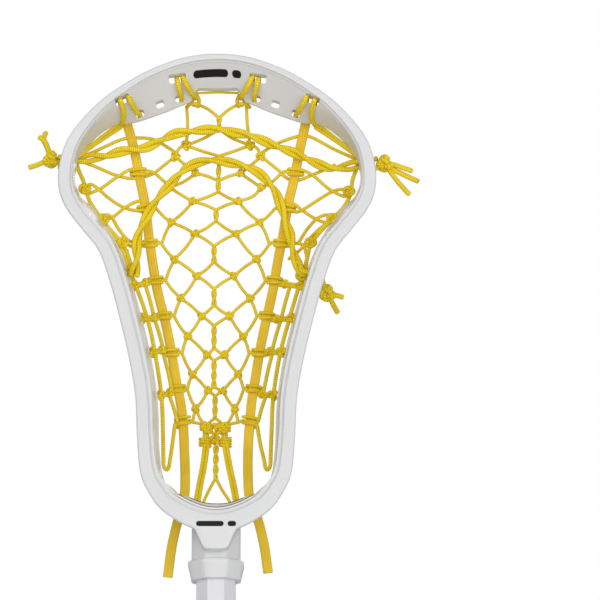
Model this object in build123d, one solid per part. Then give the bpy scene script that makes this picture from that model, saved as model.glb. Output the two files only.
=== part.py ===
"""Lacrosse stick: an octagonal tube shaft with a strung, bowl-shaped head.

Millimetres, +Z from the butt end towards the head, and the ball side of the head faces -Y.
The origin is the centre of the end cap's flat bottom face, on the shaft's axis.
Heights inside the head are counted from the mouth of its socket, so most functions take
(x, depth, height) and the last step lifts the head and its stringing to their place.
"""

import os
from math import hypot, radians, tan

from build123d import *

# Shaft and end cap
SHAFT_FLATS = 22.2
SHAFT_WALL = 1.3
SHAFT_LENGTH = 813.0
CAP_BASE = 3.0
CAP_LENGTH = 30.0
CAP_FLATS = 26.4
RUNNING_GAP = 0.05
CORNER_RADIUS = 1.4

# Head: socket, collar and neck sleeve
SOCKET_DEPTH = 38.0
SOCKET_MOUTH = CAP_BASE + SHAFT_LENGTH - SOCKET_DEPTH
COLLAR_FLATS = 31.6
COLLAR_LOW_FLATS = 27.8
COLLAR_SHOULDER = 9.0
COLLAR_HEIGHT = 11.5
SLEEVE_FLATS = 27.6
SLEEVE_TOP = 36.5

# Shield on the front of the throat, all but flush with the rim
SHIELD_BACK = -11.0
SHIELD_THICKNESS = 10.9

# Screw that holds the head on the shaft, entering from the back of the sleeve
SCREW_RADIUS = 1.75
SCREW_HEAD_RADIUS = 3.4
SCREW_HEAD_HEIGHT = 2.4
SCREW_LENGTH = 11.0
SCREW_HEIGHT = 22.0
SCREW_SEAT = 1.6

# Cords and thongs
LACE = 2.6
SHOOTER = 2.9
SIDE_STRING = 2.2
THROAT_CORD = 4.0
THONG_WIDTH = 5.6
THONG_THICKNESS = 1.7
NET_THICKNESS = 1.4
NET_GAP = 0.5
PAIR_STEP = 3.3

# Rings of the head, from the middle of the scoop round to the middle of the throat:
# outer edge x, height, rim depth, back depth, rim width, inset and thickness of the back edge
HEAD_STATIONS = [
    (0.0, 303.5, -32.0, -7.0, 3.7, 20.3, 3.0),
    (20.0, 301.0, -32.0, -7.0, 3.8, 20.5, 3.0),
    (40.0, 293.5, -31.5, -6.5, 4.0, 20.8, 3.0),
    (56.0, 284.0, -31.0, -6.0, 4.4, 17.5, 3.0),
    (67.5, 275.5, -30.4, -5.5, 4.8, 11.0, 3.0),
    (78.5, 264.1, -29.4, -5.0, 5.5, 8.4, 3.0),
    (86.7, 252.0, -28.2, -4.0, 6.3, 8.0, 3.0),
    (91.0, 237.0, -26.8, -2.5, 6.9, 8.6, 3.2),
    (90.6, 223.0, -25.7, -0.5, 7.0, 12.0, 3.5),
    (85.7, 211.7, -25.0, 1.5, 7.0, 15.5, 4.0),
    (76.7, 200.0, -24.3, 4.0, 7.0, 15.8, 4.0),
    (67.8, 188.3, -23.7, 6.5, 7.0, 13.6, 4.0),
    (61.4, 171.0, -22.8, 9.0, 7.0, 13.0, 4.0),
    (55.0, 147.5, -22.0, 11.2, 7.0, 13.2, 4.0),
    (49.5, 124.0, -22.0, 13.0, 7.0, 12.8, 4.0),
    (46.0, 103.0, -22.0, 14.2, 7.0, 12.0, 4.0),
    (44.8, 80.0, -22.0, 15.4, 7.0, 11.6, 4.0),
    (43.0, 60.0, -22.0, 16.0, 7.4, 12.8, 4.6),
    (38.7, 48.7, -22.0, 16.0, 7.9, 16.2, 6.0),
    (30.5, 37.4, -22.0, 16.0, 8.9, 19.2, 7.8),
    (15.6, 28.0, -22.0, 16.0, 10.0, 21.4, 9.8),
    (0.0, 24.6, -22.0, 16.0, 10.4, 22.6, 10.6),
]
RIM_STEP = 2.0
RIM_ROUNDING = 0.9
STATION_STEPS = 3
BALL_STOP_STATIONS = 7

# Notch in the scoop's back edge: half outline as (x, height)
SCOOP_NOTCH = [(11.0, 287.4), (17.5, 278.8)]

# Slots and lace holes through the scoop: x, height, width, opening, tilt in degrees
SCOOP_OPENINGS = [
    (54.7, 277.3, 9.0, 3.8, 27.0),
    (23.2, 290.8, 10.0, 4.2, 11.0),
    (22.3, 281.8, 5.0, 3.4, 15.0),
    (33.4, 278.2, 5.0, 3.4, 20.0),
    (45.1, 272.8, 5.0, 3.4, 22.0),
]

# Holes where the shooting strings leave through the side walls: height, depth
UPPER_HOLE = (245.0, -6.4)
LOWER_HOLE = (181.4, 1.7)
HOLE_LENGTH = 9.0
HOLE_WIDTH = 6.0
HOLE_ROUNDING = 2.0

# Pocket: height, thong x, thong depth, side string x, side string depth
POCKET_STATIONS = [
    (240.0, 45.0, 8.0, 80.4, -2.3),
    (227.0, 42.0, 12.0, 75.3, -0.3),
    (214.0, 39.8, 16.0, 63.8, 2.2),
    (200.0, 37.6, 20.0, 55.0, 5.2),
    (184.0, 35.0, 24.0, 49.2, 7.8),
    (165.0, 30.5, 28.5, 43.4, 9.9),
    (143.0, 26.0, 33.0, 37.2, 11.8),
    (122.0, 22.3, 35.6, 33.6, 13.4),
    (102.0, 19.5, 36.5, 31.6, 14.6),
    (84.0, 18.6, 35.2, 31.0, 15.6),
    (68.0, 18.2, 31.0, 29.6, 16.4),
]
THONG_TOP = [(278.0, 56.0, -3.0), (262.0, 50.5, 0.5), (251.0, 47.5, 4.0)]
THONG_FOOT = [
    (58.0, 18.4, 27.0),
    (49.0, 19.6, 23.0),
    (40.0, 22.8, 20.4),
    (25.0, 26.3, 19.0),
    (7.0, 28.6, 18.0),
]
NET_SAG = 2.6


def octagon(flats, rounding=0.0):
    """Octagon sketch with flats on the X and Y axes, its corners rounded if asked."""
    shape = RegularPolygon(flats / 2, 8, major_radius=False, rotation=22.5)
    if rounding:
        shape = fillet(shape.vertices(), rounding)
    return shape


def lifted(shape, height=SOCKET_MOUTH):
    """Move a shape made in head heights up to its place on the stick."""
    return Pos(0, 0, height) * shape


def mirrored_pair(shape):
    """Join a half on +X with its mirror image."""
    return shape + mirror(shape, about=Plane.YZ)


# ---------------------------------------------------------------- shaft and fittings


def make_shaft():
    outer = extrude(octagon(SHAFT_FLATS, CORNER_RADIUS), SHAFT_LENGTH)
    inner = extrude(octagon(SHAFT_FLATS - 2 * SHAFT_WALL, CORNER_RADIUS), SHAFT_LENGTH)
    tube = Pos(0, 0, CAP_BASE) * (outer - inner)
    return tube - screw_hole(SOCKET_MOUTH + SCREW_HEIGHT)


def screw_hole(height):
    drill = Cylinder(SCREW_RADIUS + RUNNING_GAP, SLEEVE_FLATS, rotation=(90, 0, 0))
    return Pos(0, SLEEVE_FLATS / 2, height) * drill


def make_end_cap():
    base = extrude(octagon(CAP_FLATS, CORNER_RADIUS), CAP_LENGTH)
    base = chamfer(base.faces().sort_by(Axis.Z)[0].edges(), 1.2)
    base = chamfer(base.faces().sort_by(Axis.Z)[-1].edges(), 0.8)
    bore = extrude(octagon(SHAFT_FLATS + 4 * RUNNING_GAP, CORNER_RADIUS), CAP_LENGTH)
    cap = base - Pos(0, 0, CAP_BASE) * bore
    for band_height in (10.0, 15.0, 20.0, 25.0):
        groove = extrude(octagon(CAP_FLATS + 2), 1.2) - extrude(octagon(CAP_FLATS - 1.2), 1.2)
        cap -= Pos(0, 0, band_height) * groove
    return cap


def make_head_screw():
    """Pan-head screw along +Y; its head sits in the counterbore behind the sleeve."""
    seat = SLEEVE_FLATS / 2 - SCREW_SEAT
    shank = Cylinder(SCREW_RADIUS, SCREW_LENGTH, rotation=(90, 0, 0))
    shank = Pos(0, seat - SCREW_LENGTH / 2, 0) * shank
    head = Pos(0, seat + SCREW_HEAD_HEIGHT / 2, 0) * Cylinder(
        SCREW_HEAD_RADIUS, SCREW_HEAD_HEIGHT, rotation=(90, 0, 0)
    )
    head = fillet(head.edges().sort_by(Axis.Y)[-1], 1.0)
    recess_y = seat + SCREW_HEAD_HEIGHT - 0.6
    cross = Pos(0, recess_y, 0) * (Box(3.6, 1.4, 0.8) + Box(0.8, 1.4, 3.6))
    return Pos(0, 0, SCREW_HEIGHT) * (shank + head - cross)


# ---------------------------------------------------------------- head


def smooth_value(before, start, end, after, t):
    """Value between start and end on the curve through all four."""
    square = 2 * before - 5 * start + 4 * end - after
    cube = 3 * (start - end) + after - before
    return start + 0.5 * t * (end - before + t * (square + t * cube))


def smooth_stations():
    """The stations with more between them, on a smooth curve through the given ones.

    The first and last stations lie on the mirror plane, so their neighbours across it
    are the mirror images of the second and the second to last.
    """
    first, last = HEAD_STATIONS[1], HEAD_STATIONS[-2]
    padded = [(-first[0],) + first[1:]] + HEAD_STATIONS + [(-last[0],) + last[1:]]
    stations = []
    for a, b, c, d in zip(padded, padded[1:], padded[2:], padded[3:]):
        for step in range(STATION_STEPS):
            t = step / STATION_STEPS
            values = zip(a, b, c, d)
            stations.append(tuple(smooth_value(p, q, r, s, t) for p, q, r, s in values))
    stations.append(HEAD_STATIONS[-1])
    return stations


def inward_normals(stations):
    """Unit normals of the outline in the X-Z plane, pointing into the opening."""
    normals = [(0.0, -1.0)]
    for before, after in zip(stations, stations[2:]):
        run_x, run_z = after[0] - before[0], after[1] - before[1]
        size = hypot(run_x, run_z)
        normals.append((run_z / size, -run_x / size))
    return normals + [(0.0, 1.0)]


def ring_face(station, normal, outline):
    """Flat face across the ring: outline is a list of (inset, depth) corners."""
    x, height = station[0], station[1]
    corners = [(x + n * normal[0], y, height + n * normal[1]) for n, y in outline]
    return Face(Wire.make_polygon([Vector(*c) for c in corners], close=True))


def ring_outline(station):
    _, _, rim_y, back_y, rim_width, back_inset, back_thickness = station
    return [
        (RIM_ROUNDING, rim_y),
        (0.0, rim_y + RIM_ROUNDING),
        (0.25 * (back_inset - back_thickness), 0.6 * rim_y + 0.4 * back_y),
        (back_inset - back_thickness, back_y),
        (back_inset, back_y),
        (rim_width, rim_y + RIM_STEP),
        (rim_width, rim_y),
    ]


def make_ring():
    stations = smooth_stations()
    faces = [
        ring_face(station, normal, ring_outline(station))
        for station, normal in zip(stations, inward_normals(stations))
    ]
    return mirrored_pair(loft(faces, ruled=True))


def plate(half, back, thickness):
    """Plate facing -Y, from half of its outline in (x, height)."""
    outline = half + [(-x, z) for x, z in reversed(half)]
    face = make_face(Polyline(*outline, close=True))
    return extrude(Pos(0, back, 0) * Plane.XZ * face, thickness)


def make_neck():
    """Collar and sleeve round the socket, and the shield on the front of the throat."""
    low = octagon(COLLAR_LOW_FLATS, CORNER_RADIUS)
    wide = Pos(0, 0, COLLAR_SHOULDER) * octagon(COLLAR_FLATS, CORNER_RADIUS)
    top = Pos(0, 0, COLLAR_HEIGHT) * octagon(SLEEVE_FLATS + 1, CORNER_RADIUS)
    sleeve = extrude(octagon(SLEEVE_FLATS, CORNER_RADIUS), SLEEVE_TOP)
    neck = loft([low, wide]) + loft([wide, top]) + sleeve
    half = [(17.0, 33.0), (13.2, 28.2), (11.0, 25.6), (7.4, 17.0), (5.6, 15.2)]
    return neck + plate(half, SHIELD_BACK, SHIELD_THICKNESS)


def scoop_cutters():
    tools = [plate(SCOOP_NOTCH, 2.0, 22.0)]
    for x, height, width, opening, tilt in SCOOP_OPENINGS:
        for side in (-1, 1):
            block = fillet(Box(width, 60, opening).edges().filter_by(Axis.Y), 0.9)
            tools.append(Pos(side * x, -18, height) * Rot(0, side * tilt, 0) * block)
    return tools


def side_cutters():
    tools = []
    for height, depth in (UPPER_HOLE, LOWER_HOLE):
        block = Box(220, HOLE_LENGTH, HOLE_WIDTH)
        block = fillet(block.edges().filter_by(Axis.X), HOLE_ROUNDING)
        tools.append(Pos(0, depth, height) * block)
    return tools


def make_head():
    head = make_ring() + make_neck()
    socket = extrude(octagon(SHAFT_FLATS + 2 * RUNNING_GAP, CORNER_RADIUS), SOCKET_DEPTH)
    head -= socket
    head -= screw_hole(SCREW_HEIGHT)
    counterbore = Cylinder(SCREW_HEAD_RADIUS + 2 * RUNNING_GAP, 10, rotation=(90, 0, 0))
    head -= Pos(0, SLEEVE_FLATS / 2 - SCREW_SEAT + 5, SCREW_HEIGHT) * counterbore
    for tool in scoop_cutters() + side_cutters():
        head -= tool
    return head


def make_ball_stop():
    """Foam pad round the inside of the throat, following the ring's inner wall."""
    gap, thickness = 0.4, 2.0
    low_end, high_end = 0.2, 0.85
    stations = smooth_stations()
    faces = []
    for station, normal in list(zip(stations, inward_normals(stations)))[-BALL_STOP_STATIONS:]:
        _, _, rim_y, back_y, rim_width, back_inset, _ = station
        run = (back_inset - rim_width, back_y - rim_y - RIM_STEP)
        size = hypot(*run)
        across = (run[1] / size, -run[0] / size)
        outline = []
        face, back = gap, gap + thickness
        for end, lift in ((low_end, face), (high_end, face), (high_end, back), (low_end, back)):
            inset = rim_width + end * run[0] + lift * across[0]
            depth = rim_y + RIM_STEP + end * run[1] + lift * across[1]
            outline.append((inset, depth))
        faces.append(ring_face(station, normal, outline))
    return mirrored_pair(loft(faces, ruled=True))


# ---------------------------------------------------------------- stringing


def corner_radii(points):
    """Largest tangent arc for each corner of a route."""
    radii = []
    for before, corner, after in zip(points, points[1:], points[2:]):
        first = Vector(*corner) - Vector(*before)
        second = Vector(*after) - Vector(*corner)
        turn = radians(first.get_angle(second))
        radii.append(0.45 * min(first.length, second.length) / tan(turn / 2))
    return radii


def make_cord(name, points, diameter):
    """Round cord along straight runs joined by tangent arcs."""
    radii = corner_radii(points)
    path = FilletPolyline(*points, radius=radii)
    start = Plane(origin=path @ 0, z_dir=path % 0)
    cord = sweep(start * Circle(diameter / 2), path=path)
    expected = path.length * 3.14159 * diameter**2 / 4
    ratio = cord.volume / expected
    print(name, "length", round(path.length, 1), "volume ratio", round(ratio, 4))
    print(name, "least radius", round(min(radii), 1))
    return cord


def pushed_back(points, step):
    return [(x, y + step, z) for x, y, z in points]


def strip(sections):
    """Closed thin strip through cross-sections, each a list of (x, y, z) corners."""
    faces = [Face(Wire.make_polygon([Vector(*c) for c in corners], close=True)) for corners in sections]
    return loft(faces, ruled=True)


def make_runner():
    """Flat thong of the +X side, from behind the scoop to its tail behind the neck."""
    route = THONG_TOP + [station[:3] for station in POCKET_STATIONS] + THONG_FOOT
    half_width, half_thickness = THONG_WIDTH / 2, THONG_THICKNESS / 2
    sections = []
    for height, x, y in route:
        sections.append([
            (x - half_width, y - half_thickness, height),
            (x + half_width, y - half_thickness, height),
            (x + half_width, y + half_thickness, height),
            (x - half_width, y + half_thickness, height),
        ])
    return strip(sections)


def make_crosslace():
    """Centre panel of the net, between the two thongs."""
    sections = []
    for height, x, y in THONG_TOP[1:] + [station[:3] for station in POCKET_STATIONS]:
        edge = x - THONG_WIDTH / 2 - NET_GAP
        sag = y + NET_SAG * 0.8
        front = [(-edge, y), (-edge / 2, sag), (0, y + NET_SAG), (edge / 2, sag), (edge, y)]
        corners = [(px, py, height) for px, py in front]
        corners += [(px, py + NET_THICKNESS, height) for px, py in reversed(front)]
        sections.append(corners)
    return strip(sections)


def make_side_lacing():
    """Side panel of the net on +X, between a thong and the side string."""
    sections = []
    for height, x, y, string_x, string_y in POCKET_STATIONS:
        inner = (x + THONG_WIDTH / 2 + NET_GAP, y)
        outer = (string_x - SIDE_STRING / 2 - 2 * NET_GAP, string_y)
        middle = ((inner[0] + outer[0]) / 2, (inner[1] + outer[1]) / 2 + 1.0)
        front = [inner, middle, outer]
        corners = [(px, py, height) for px, py in front]
        corners += [(px, py + NET_THICKNESS, height) for px, py in reversed(front)]
        sections.append(corners)
    return strip(sections)


def knot(centre, radius, tail_ends, diameter):
    """Pulled-tight knot with its free ends."""
    body = Pos(*centre) * Sphere(radius)
    for end in tail_ends:
        line = Edge.make_line(Vector(*centre), Vector(*end))
        body += sweep(Plane(origin=centre, z_dir=line % 0) * Circle(diameter / 2), path=line)
    return body


UPPER_ROUTE = [
    (-92.0, -8.0, 245.2),
    (-76.0, -8.0, 245.6),
    (-62.0, -6.6, 250.0),
    (-46.0, -5.6, 255.0),
    (-28.0, -6.8, 261.0),
    (-9.0, -8.0, 264.4),
    (13.0, -8.0, 262.8),
    (34.0, -6.0, 256.0),
    (54.0, -4.8, 247.6),
    (69.0, -6.0, 243.4),
    (80.0, -8.0, 245.0),
    (92.0, -8.0, 244.8),
]
LOWER_ROUTE = [
    (-50.2, 0.0, 180.5),
    (-47.5, 1.6, 192.0),
    (-45.5, 4.6, 206.0),
    (-39.5, 5.4, 219.5),
    (-27.5, 3.4, 235.0),
    (-11.0, 0.6, 246.5),
    (9.0, 0.8, 247.2),
    (26.0, 3.2, 239.5),
    (36.0, 5.0, 225.0),
    (41.5, 5.0, 209.5),
    (45.0, 2.4, 195.0),
    (48.6, 0.4, 183.0),
    (59.0, 0.0, 180.4),
]
SIDE_STRING_ROUTE = [(80.4, -2.3, 240.0)] + [(s[3], s[4], s[0]) for s in POCKET_STATIONS[1:]]
THROAT_CORD_ROUTE = [(6.2, 32.0, 83.0), (8.6, 28.0, 69.0), (11.2, 22.6, 54.0), (12.6, 19.4, 36.0)]
INNER_LACE_ROUTE = [
    (22.6, -11.0, 291.2), (22.6, -24.4, 291.4), (22.4, -26.4, 287.8),
    (22.1, -15.0, 281.0), (22.3, -1.0, 282.2),
]
OUTER_LACE_ROUTE = [
    (52.4, -14.0, 278.4), (52.2, -28.8, 278.6), (51.2, -29.6, 274.6),
    (45.8, -17.0, 271.2), (45.1, -2.0, 273.2),
]


# Knots outside the head: centre, radius, ends of the tails
KNOTS = {
    "upper_knot_left": (
        (-96.8, -6.4, 246.0),
        4.4,
        [(-101.0, -8.0, 260.0), (-109.0, -5.0, 243.0)],
    ),
    "upper_knot_right": (
        (97.0, -6.4, 244.0),
        4.6,
        [(112.0, -8.0, 240.0), (115.6, -5.0, 234.4), (110.4, -3.0, 227.4)],
    ),
    "lower_knot_right": (
        (64.6, 3.0, 169.6),
        4.0,
        [(62.6, 3.0, 177.6), (71.6, 2.0, 167.0), (69.4, 5.0, 158.8)],
    ),
}


def build_parts():
    """Every piece of the stick by node name, in its place."""
    in_head = {
        "head": make_head(),
        "head_screw": make_head_screw(),
        "ball_stop": make_ball_stop(),
        "runner_right": make_runner(),
        "crosslace": make_crosslace(),
        "side_lacing_right": make_side_lacing(),
    }
    for name, route in (("upper_shooter", UPPER_ROUTE), ("lower_shooter", LOWER_ROUTE)):
        back_route = pushed_back(route, PAIR_STEP)
        in_head[name + "_front"] = make_cord(name + "_front", route, SHOOTER)
        in_head[name + "_back"] = make_cord(name + "_back", back_route, SHOOTER)
    for name, (centre, radius, tail_ends) in KNOTS.items():
        in_head[name] = knot(centre, radius, tail_ends, SHOOTER)
    for name, route, diameter in (
        ("sidewall_string", SIDE_STRING_ROUTE, SIDE_STRING),
        ("throat_cord", THROAT_CORD_ROUTE, THROAT_CORD),
        ("scoop_lace_inner", INNER_LACE_ROUTE, LACE),
        ("scoop_lace_outer", OUTER_LACE_ROUTE, LACE),
    ):
        in_head[name + "_right"] = make_cord(name, route, diameter)
        in_head[name + "_left"] = mirror(in_head[name + "_right"], about=Plane.YZ)
    for name in ("runner", "side_lacing"):
        in_head[name + "_left"] = mirror(in_head[name + "_right"], about=Plane.YZ)
    parts = {name: lifted(shape) for name, shape in in_head.items()}
    parts["shaft"] = make_shaft()
    parts["end_cap"] = make_end_cap()
    return parts


os.makedirs("parts", exist_ok=True)
for node, shape in build_parts().items():
    export_step(shape, f"parts/{node}.step")
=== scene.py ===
"""Looks of a lacrosse stick: moulded head, octagonal shaft, and a pocket strung with cord and tape.

Inside the classes, lengths are millimetres: x to the right, depth away from the ball side, and
height counted from the mouth of the head's socket. ``spot`` turns them into the frame's metres.
"""

import logging
import math
from dataclasses import dataclass, field
from enum import Enum
from typing import Callable, Iterable, Sequence

import bmesh
import bpy
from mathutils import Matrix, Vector


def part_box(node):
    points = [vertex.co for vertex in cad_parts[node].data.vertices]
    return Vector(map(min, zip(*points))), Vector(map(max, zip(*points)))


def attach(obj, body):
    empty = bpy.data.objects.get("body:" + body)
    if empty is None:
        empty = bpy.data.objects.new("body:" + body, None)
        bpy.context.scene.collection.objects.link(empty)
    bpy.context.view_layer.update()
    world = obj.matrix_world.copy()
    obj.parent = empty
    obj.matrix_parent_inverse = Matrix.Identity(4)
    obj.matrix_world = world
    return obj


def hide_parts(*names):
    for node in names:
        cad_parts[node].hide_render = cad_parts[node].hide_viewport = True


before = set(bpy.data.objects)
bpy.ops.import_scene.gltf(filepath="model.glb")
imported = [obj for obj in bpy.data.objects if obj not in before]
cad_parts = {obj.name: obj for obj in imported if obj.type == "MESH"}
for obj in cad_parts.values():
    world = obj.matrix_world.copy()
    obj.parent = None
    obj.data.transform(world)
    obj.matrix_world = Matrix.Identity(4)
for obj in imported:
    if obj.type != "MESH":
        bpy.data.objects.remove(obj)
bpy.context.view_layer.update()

log = logging.getLogger("lacrosse_stick")

MM = 0.001
SOCKET_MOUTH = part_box("head")[0].z
STICK = "stick"

Route = Sequence[tuple[float, ...]]


def spot(x: float, depth: float, height: float) -> Vector:
    """Place of a point of the head, in the frame's metres."""
    return Vector((x * MM, depth * MM, SOCKET_MOUTH + height * MM))


def mix(a: float, b: float, share: float) -> float:
    """Value a given share of the way from a to b."""
    return a + (b - a) * share


# ------------------------------------------------------------------ finishes


class Sheet:
    """Short way to write a node material: adds nodes and links them in one call."""

    def __init__(self, name: str) -> None:
        """Start an empty material with a Principled shader.

        Args:
            name: the material's name.
        """
        self.material = bpy.data.materials.new(name)
        self.material.use_nodes = True
        self.tree = self.material.node_tree
        self.shader = self.tree.nodes["Principled BSDF"]

    def node(self, kind: str, settings: dict | None = None, **inputs) -> bpy.types.Node:
        """Add a node and set or link its inputs.

        Args:
            kind: the node's type, without the ShaderNode prefix.
            settings: attributes of the node itself.
            inputs: input name, or _INDEX, to a number, a colour or a socket.

        Returns:
            The new node.
        """
        made = self.tree.nodes.new("ShaderNode" + kind)
        for key, value in (settings or {}).items():
            setattr(made, key, value)
        for key, value in inputs.items():
            socket = made.inputs[int(key[1:]) if key.startswith("_") else key]
            if isinstance(value, bpy.types.NodeSocket):
                self.tree.links.new(value, socket)
            else:
                socket.default_value = value
        return made

    def maths(self, operation: str, a, b=0.0, c=0.0) -> bpy.types.NodeSocket:
        """Output of a Math node on up to three numbers or sockets."""
        return self.node("Math", {"operation": operation}, _0=a, _1=b, _2=c).outputs[0]

    def blend(self, share, first, second) -> bpy.types.NodeSocket:
        """Colour between two colours, by a share that is a number or a socket."""
        made = self.node("Mix", {"data_type": "RGBA"}, _0=share, _6=first, _7=second)
        return made.outputs[2]

    def range(self, value, low: float, high: float, to_low: float, to_high: float) -> bpy.types.NodeSocket:
        """Value moved from one range into another, held at its ends."""
        made = self.node("MapRange", None, _0=value, _1=low, _2=high, _3=to_low, _4=to_high)
        return made.outputs[0]

    def noise(self, where, scale: float, detail: float = 2.0) -> bpy.types.NodeSocket:
        """Noise value at the given coordinates."""
        return self.node("TexNoise", None, Vector=where, Scale=scale, Detail=detail).outputs["Fac"]

    def place(self) -> bpy.types.NodeSocket:
        """Coordinates of the surface in the frame's metres."""
        return self.node("TexCoord").outputs["Object"]

    def dress(self, colour=None, roughness=None, bump=None, depth: float = 0.0001, **fixed: float) -> None:
        """Wire up the shader.

        Args:
            colour: colour socket or value.
            roughness: roughness socket or value.
            bump: height socket, from 0 to 1.
            depth: metres that a height of 1 stands for.
            fixed: other shader inputs, set as plain numbers.
        """
        for key, value in (("Base Color", colour), ("Roughness", roughness)):
            if isinstance(value, bpy.types.NodeSocket):
                self.tree.links.new(value, self.shader.inputs[key])
            elif value is not None:
                self.shader.inputs[key].default_value = value
        if bump is not None:
            made = self.node("Bump", None, Height=bump, Distance=depth, Strength=1.0)
            self.tree.links.new(made.outputs[0], self.shader.inputs["Normal"])
        for key, value in fixed.items():
            self.shader.inputs[key.replace("_", " ")].default_value = value


Colour = tuple[float, float, float, float]


@dataclass(frozen=True)
class MouldedNylon:
    """Pale injection-moulded nylon of the head, satin, with faint flow marks and scuffs."""

    colour: Colour = (0.80, 0.80, 0.80, 1)
    shade: Colour = (0.75, 0.75, 0.755, 1)
    slot: str = "head_plastic"

    def make(self) -> bpy.types.Material:
        """Build the material."""
        sheet = Sheet("moulded_nylon")
        where = sheet.place()
        flow = sheet.noise(where, 28.0, 3.0)
        grain = sheet.noise(where, 2600.0, 2.0)
        scuff = sheet.range(sheet.noise(where, 160.0, 6.0), 0.60, 0.72, 0.0, 1.0)
        colour = sheet.blend(sheet.range(flow, 0.35, 0.7, 0.0, 0.6), self.colour, self.shade)
        rough = sheet.maths("ADD", sheet.range(flow, 0.3, 0.7, 0.34, 0.42),
                            sheet.maths("MULTIPLY", scuff, 0.12))
        sheet.dress(colour, rough, grain, 0.00003, Specular_IOR_Level=0.45, Coat_Weight=0.05)
        return sheet.material


@dataclass(frozen=True)
class CoatedTube:
    """White powder coat of the shaft, with one face printed with plain bars of unequal length."""

    colour: Colour = (0.80, 0.80, 0.815, 1)
    ink: Colour = (0.012, 0.012, 0.014, 1)
    bar_half_width: float = 2.3
    face_depth: float = -10.6
    bars: tuple[tuple[float, float], ...] = ((640.0, 668.0), (574.0, 632.0), (536.0, 566.0), (522.0, 528.0),
                                             (420.0, 514.0))
    slot: str = "shaft_paint"

    def make(self) -> bpy.types.Material:
        """Build the material."""
        sheet = Sheet("coated_tube")
        where = sheet.place()
        x, y, z = (sheet.node("SeparateXYZ", None, _0=where).outputs[i] for i in range(3))
        printed: object = 0.0
        for low, high in self.bars:
            middle, half = (low + high) / 2 * MM, (high - low) / 2 * MM
            bar = sheet.maths("COMPARE", z, middle, half)
            printed = sheet.maths("MAXIMUM", printed, bar)
        on_face = sheet.maths("LESS_THAN", y, self.face_depth * MM)
        in_width = sheet.maths("COMPARE", x, 0.0, self.bar_half_width * MM)
        mask = sheet.maths("MULTIPLY", printed, sheet.maths("MULTIPLY", on_face, in_width))
        orange_peel = sheet.noise(where, 1500.0, 2.0)
        streaks = sheet.node("Mapping", None, Vector=where, Scale=(1.0, 1.0, 0.06)).outputs[0]
        rubbed = sheet.range(sheet.noise(streaks, 420.0, 4.0), 0.35, 0.75, 0.26, 0.38)
        sheet.dress(sheet.blend(mask, self.colour, self.ink), rubbed, orange_peel, 0.00002, Coat_Weight=0.15)
        return sheet.material


@dataclass(frozen=True)
class BraidedCord:
    """Round braided nylon cord: crossing strands round the cord, with painted shade between them."""

    name: str = "braided_cord"
    light: Colour = (1.0, 0.80, 0.03, 1)
    # darker colour: painted shade in the hollows between the strands, also used for random darker patches
    hollow_shade_and_patch: Colour = (0.62, 0.30, 0.001, 1)
    strands: float = 3.0
    slot: str = "net_cord"

    def make(self) -> bpy.types.Material:
        """Build the material."""
        sheet = Sheet(self.name)
        where = sheet.place()
        along = sheet.node("UVMap").outputs[0]
        split = sheet.node("SeparateXYZ", None, _0=along)
        turn = sheet.maths("MULTIPLY", split.outputs[0], self.strands * math.tau)
        run = sheet.maths("MULTIPLY", split.outputs[1], self.strands * math.tau)
        rising = sheet.maths("SINE", sheet.maths("ADD", turn, run))
        falling = sheet.maths("SINE", sheet.maths("SUBTRACT", turn, run))
        strand = sheet.range(sheet.maths("MULTIPLY", rising, falling), -1.0, 1.0, 0.0, 1.0)
        fibre = sheet.noise(where, 5200.0, 2.0)
        height = sheet.maths("ADD", sheet.maths("MULTIPLY", strand, 0.8), sheet.maths("MULTIPLY", fibre, 0.2))
        patch = sheet.noise(where, 95.0, 3.0)
        # painted shade: the darker colour fills the hollows between the strands; noise adds random darker
        # patches
        share = sheet.maths("ADD", sheet.range(strand, 0.12, 0.6, 0.75, 0.0),
                            sheet.range(patch, 0.3, 0.7, -0.2, 0.15))
        held = sheet.node("Clamp", None, _0=share).outputs[0]
        rough = sheet.range(fibre, 0.3, 0.7, 0.42, 0.6)
        sheet.dress(sheet.blend(held, self.light, self.hollow_shade_and_patch), rough, height, 0.00026, Specular_IOR_Level=0.14)
        return sheet.material


@dataclass(frozen=True)
class WovenTape:
    """Flat woven nylon tape of the thongs: ribs along it, crossed by a fine weft, with painted shade in the
    weave's hollows.
    """

    light: Colour = (1.0, 0.70, 0.055, 1)
    # darker colour: painted shade in the weave's hollows, also used for random darker patches
    hollow_shade_and_patch: Colour = (0.60, 0.33, 0.006, 1)
    rib: float = 1.4
    weft: float = 1.25
    slot: str = "thong_yellow"

    def make(self) -> bpy.types.Material:
        """Build the material."""
        sheet = Sheet("woven_tape")
        where = sheet.place()
        split = sheet.node("SeparateXYZ", None, _0=sheet.node("UVMap").outputs[0])
        across = sheet.maths("SINE", sheet.maths("MULTIPLY", split.outputs[0], math.tau / self.rib))
        along = sheet.maths("SINE", sheet.maths("MULTIPLY", split.outputs[1], math.tau / self.weft))
        weave = sheet.range(sheet.maths("MULTIPLY", across, along), -1.0, 1.0, 0.0, 1.0)
        ribs = sheet.range(across, -1.0, 1.0, 0.0, 1.0)
        height = sheet.maths("ADD", sheet.maths("MULTIPLY", weave, 0.6), sheet.maths("MULTIPLY", ribs, 0.4))
        patch = sheet.noise(where, 70.0, 3.0)
        # painted shade: the darker colour fills the low places of the weave; noise adds random darker patches
        share = sheet.maths("ADD", sheet.range(height, 0.1, 0.7, 0.45, 0.0),
                            sheet.range(patch, 0.3, 0.7, -0.1, 0.2))
        held = sheet.node("Clamp", None, _0=share).outputs[0]
        rough = sheet.range(sheet.noise(where, 4200.0), 0.3, 0.7, 0.5, 0.68)
        sheet.dress(sheet.blend(held, self.light, self.hollow_shade_and_patch), rough, height, 0.0002, Specular_IOR_Level=0.14)
        return sheet.material


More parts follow.
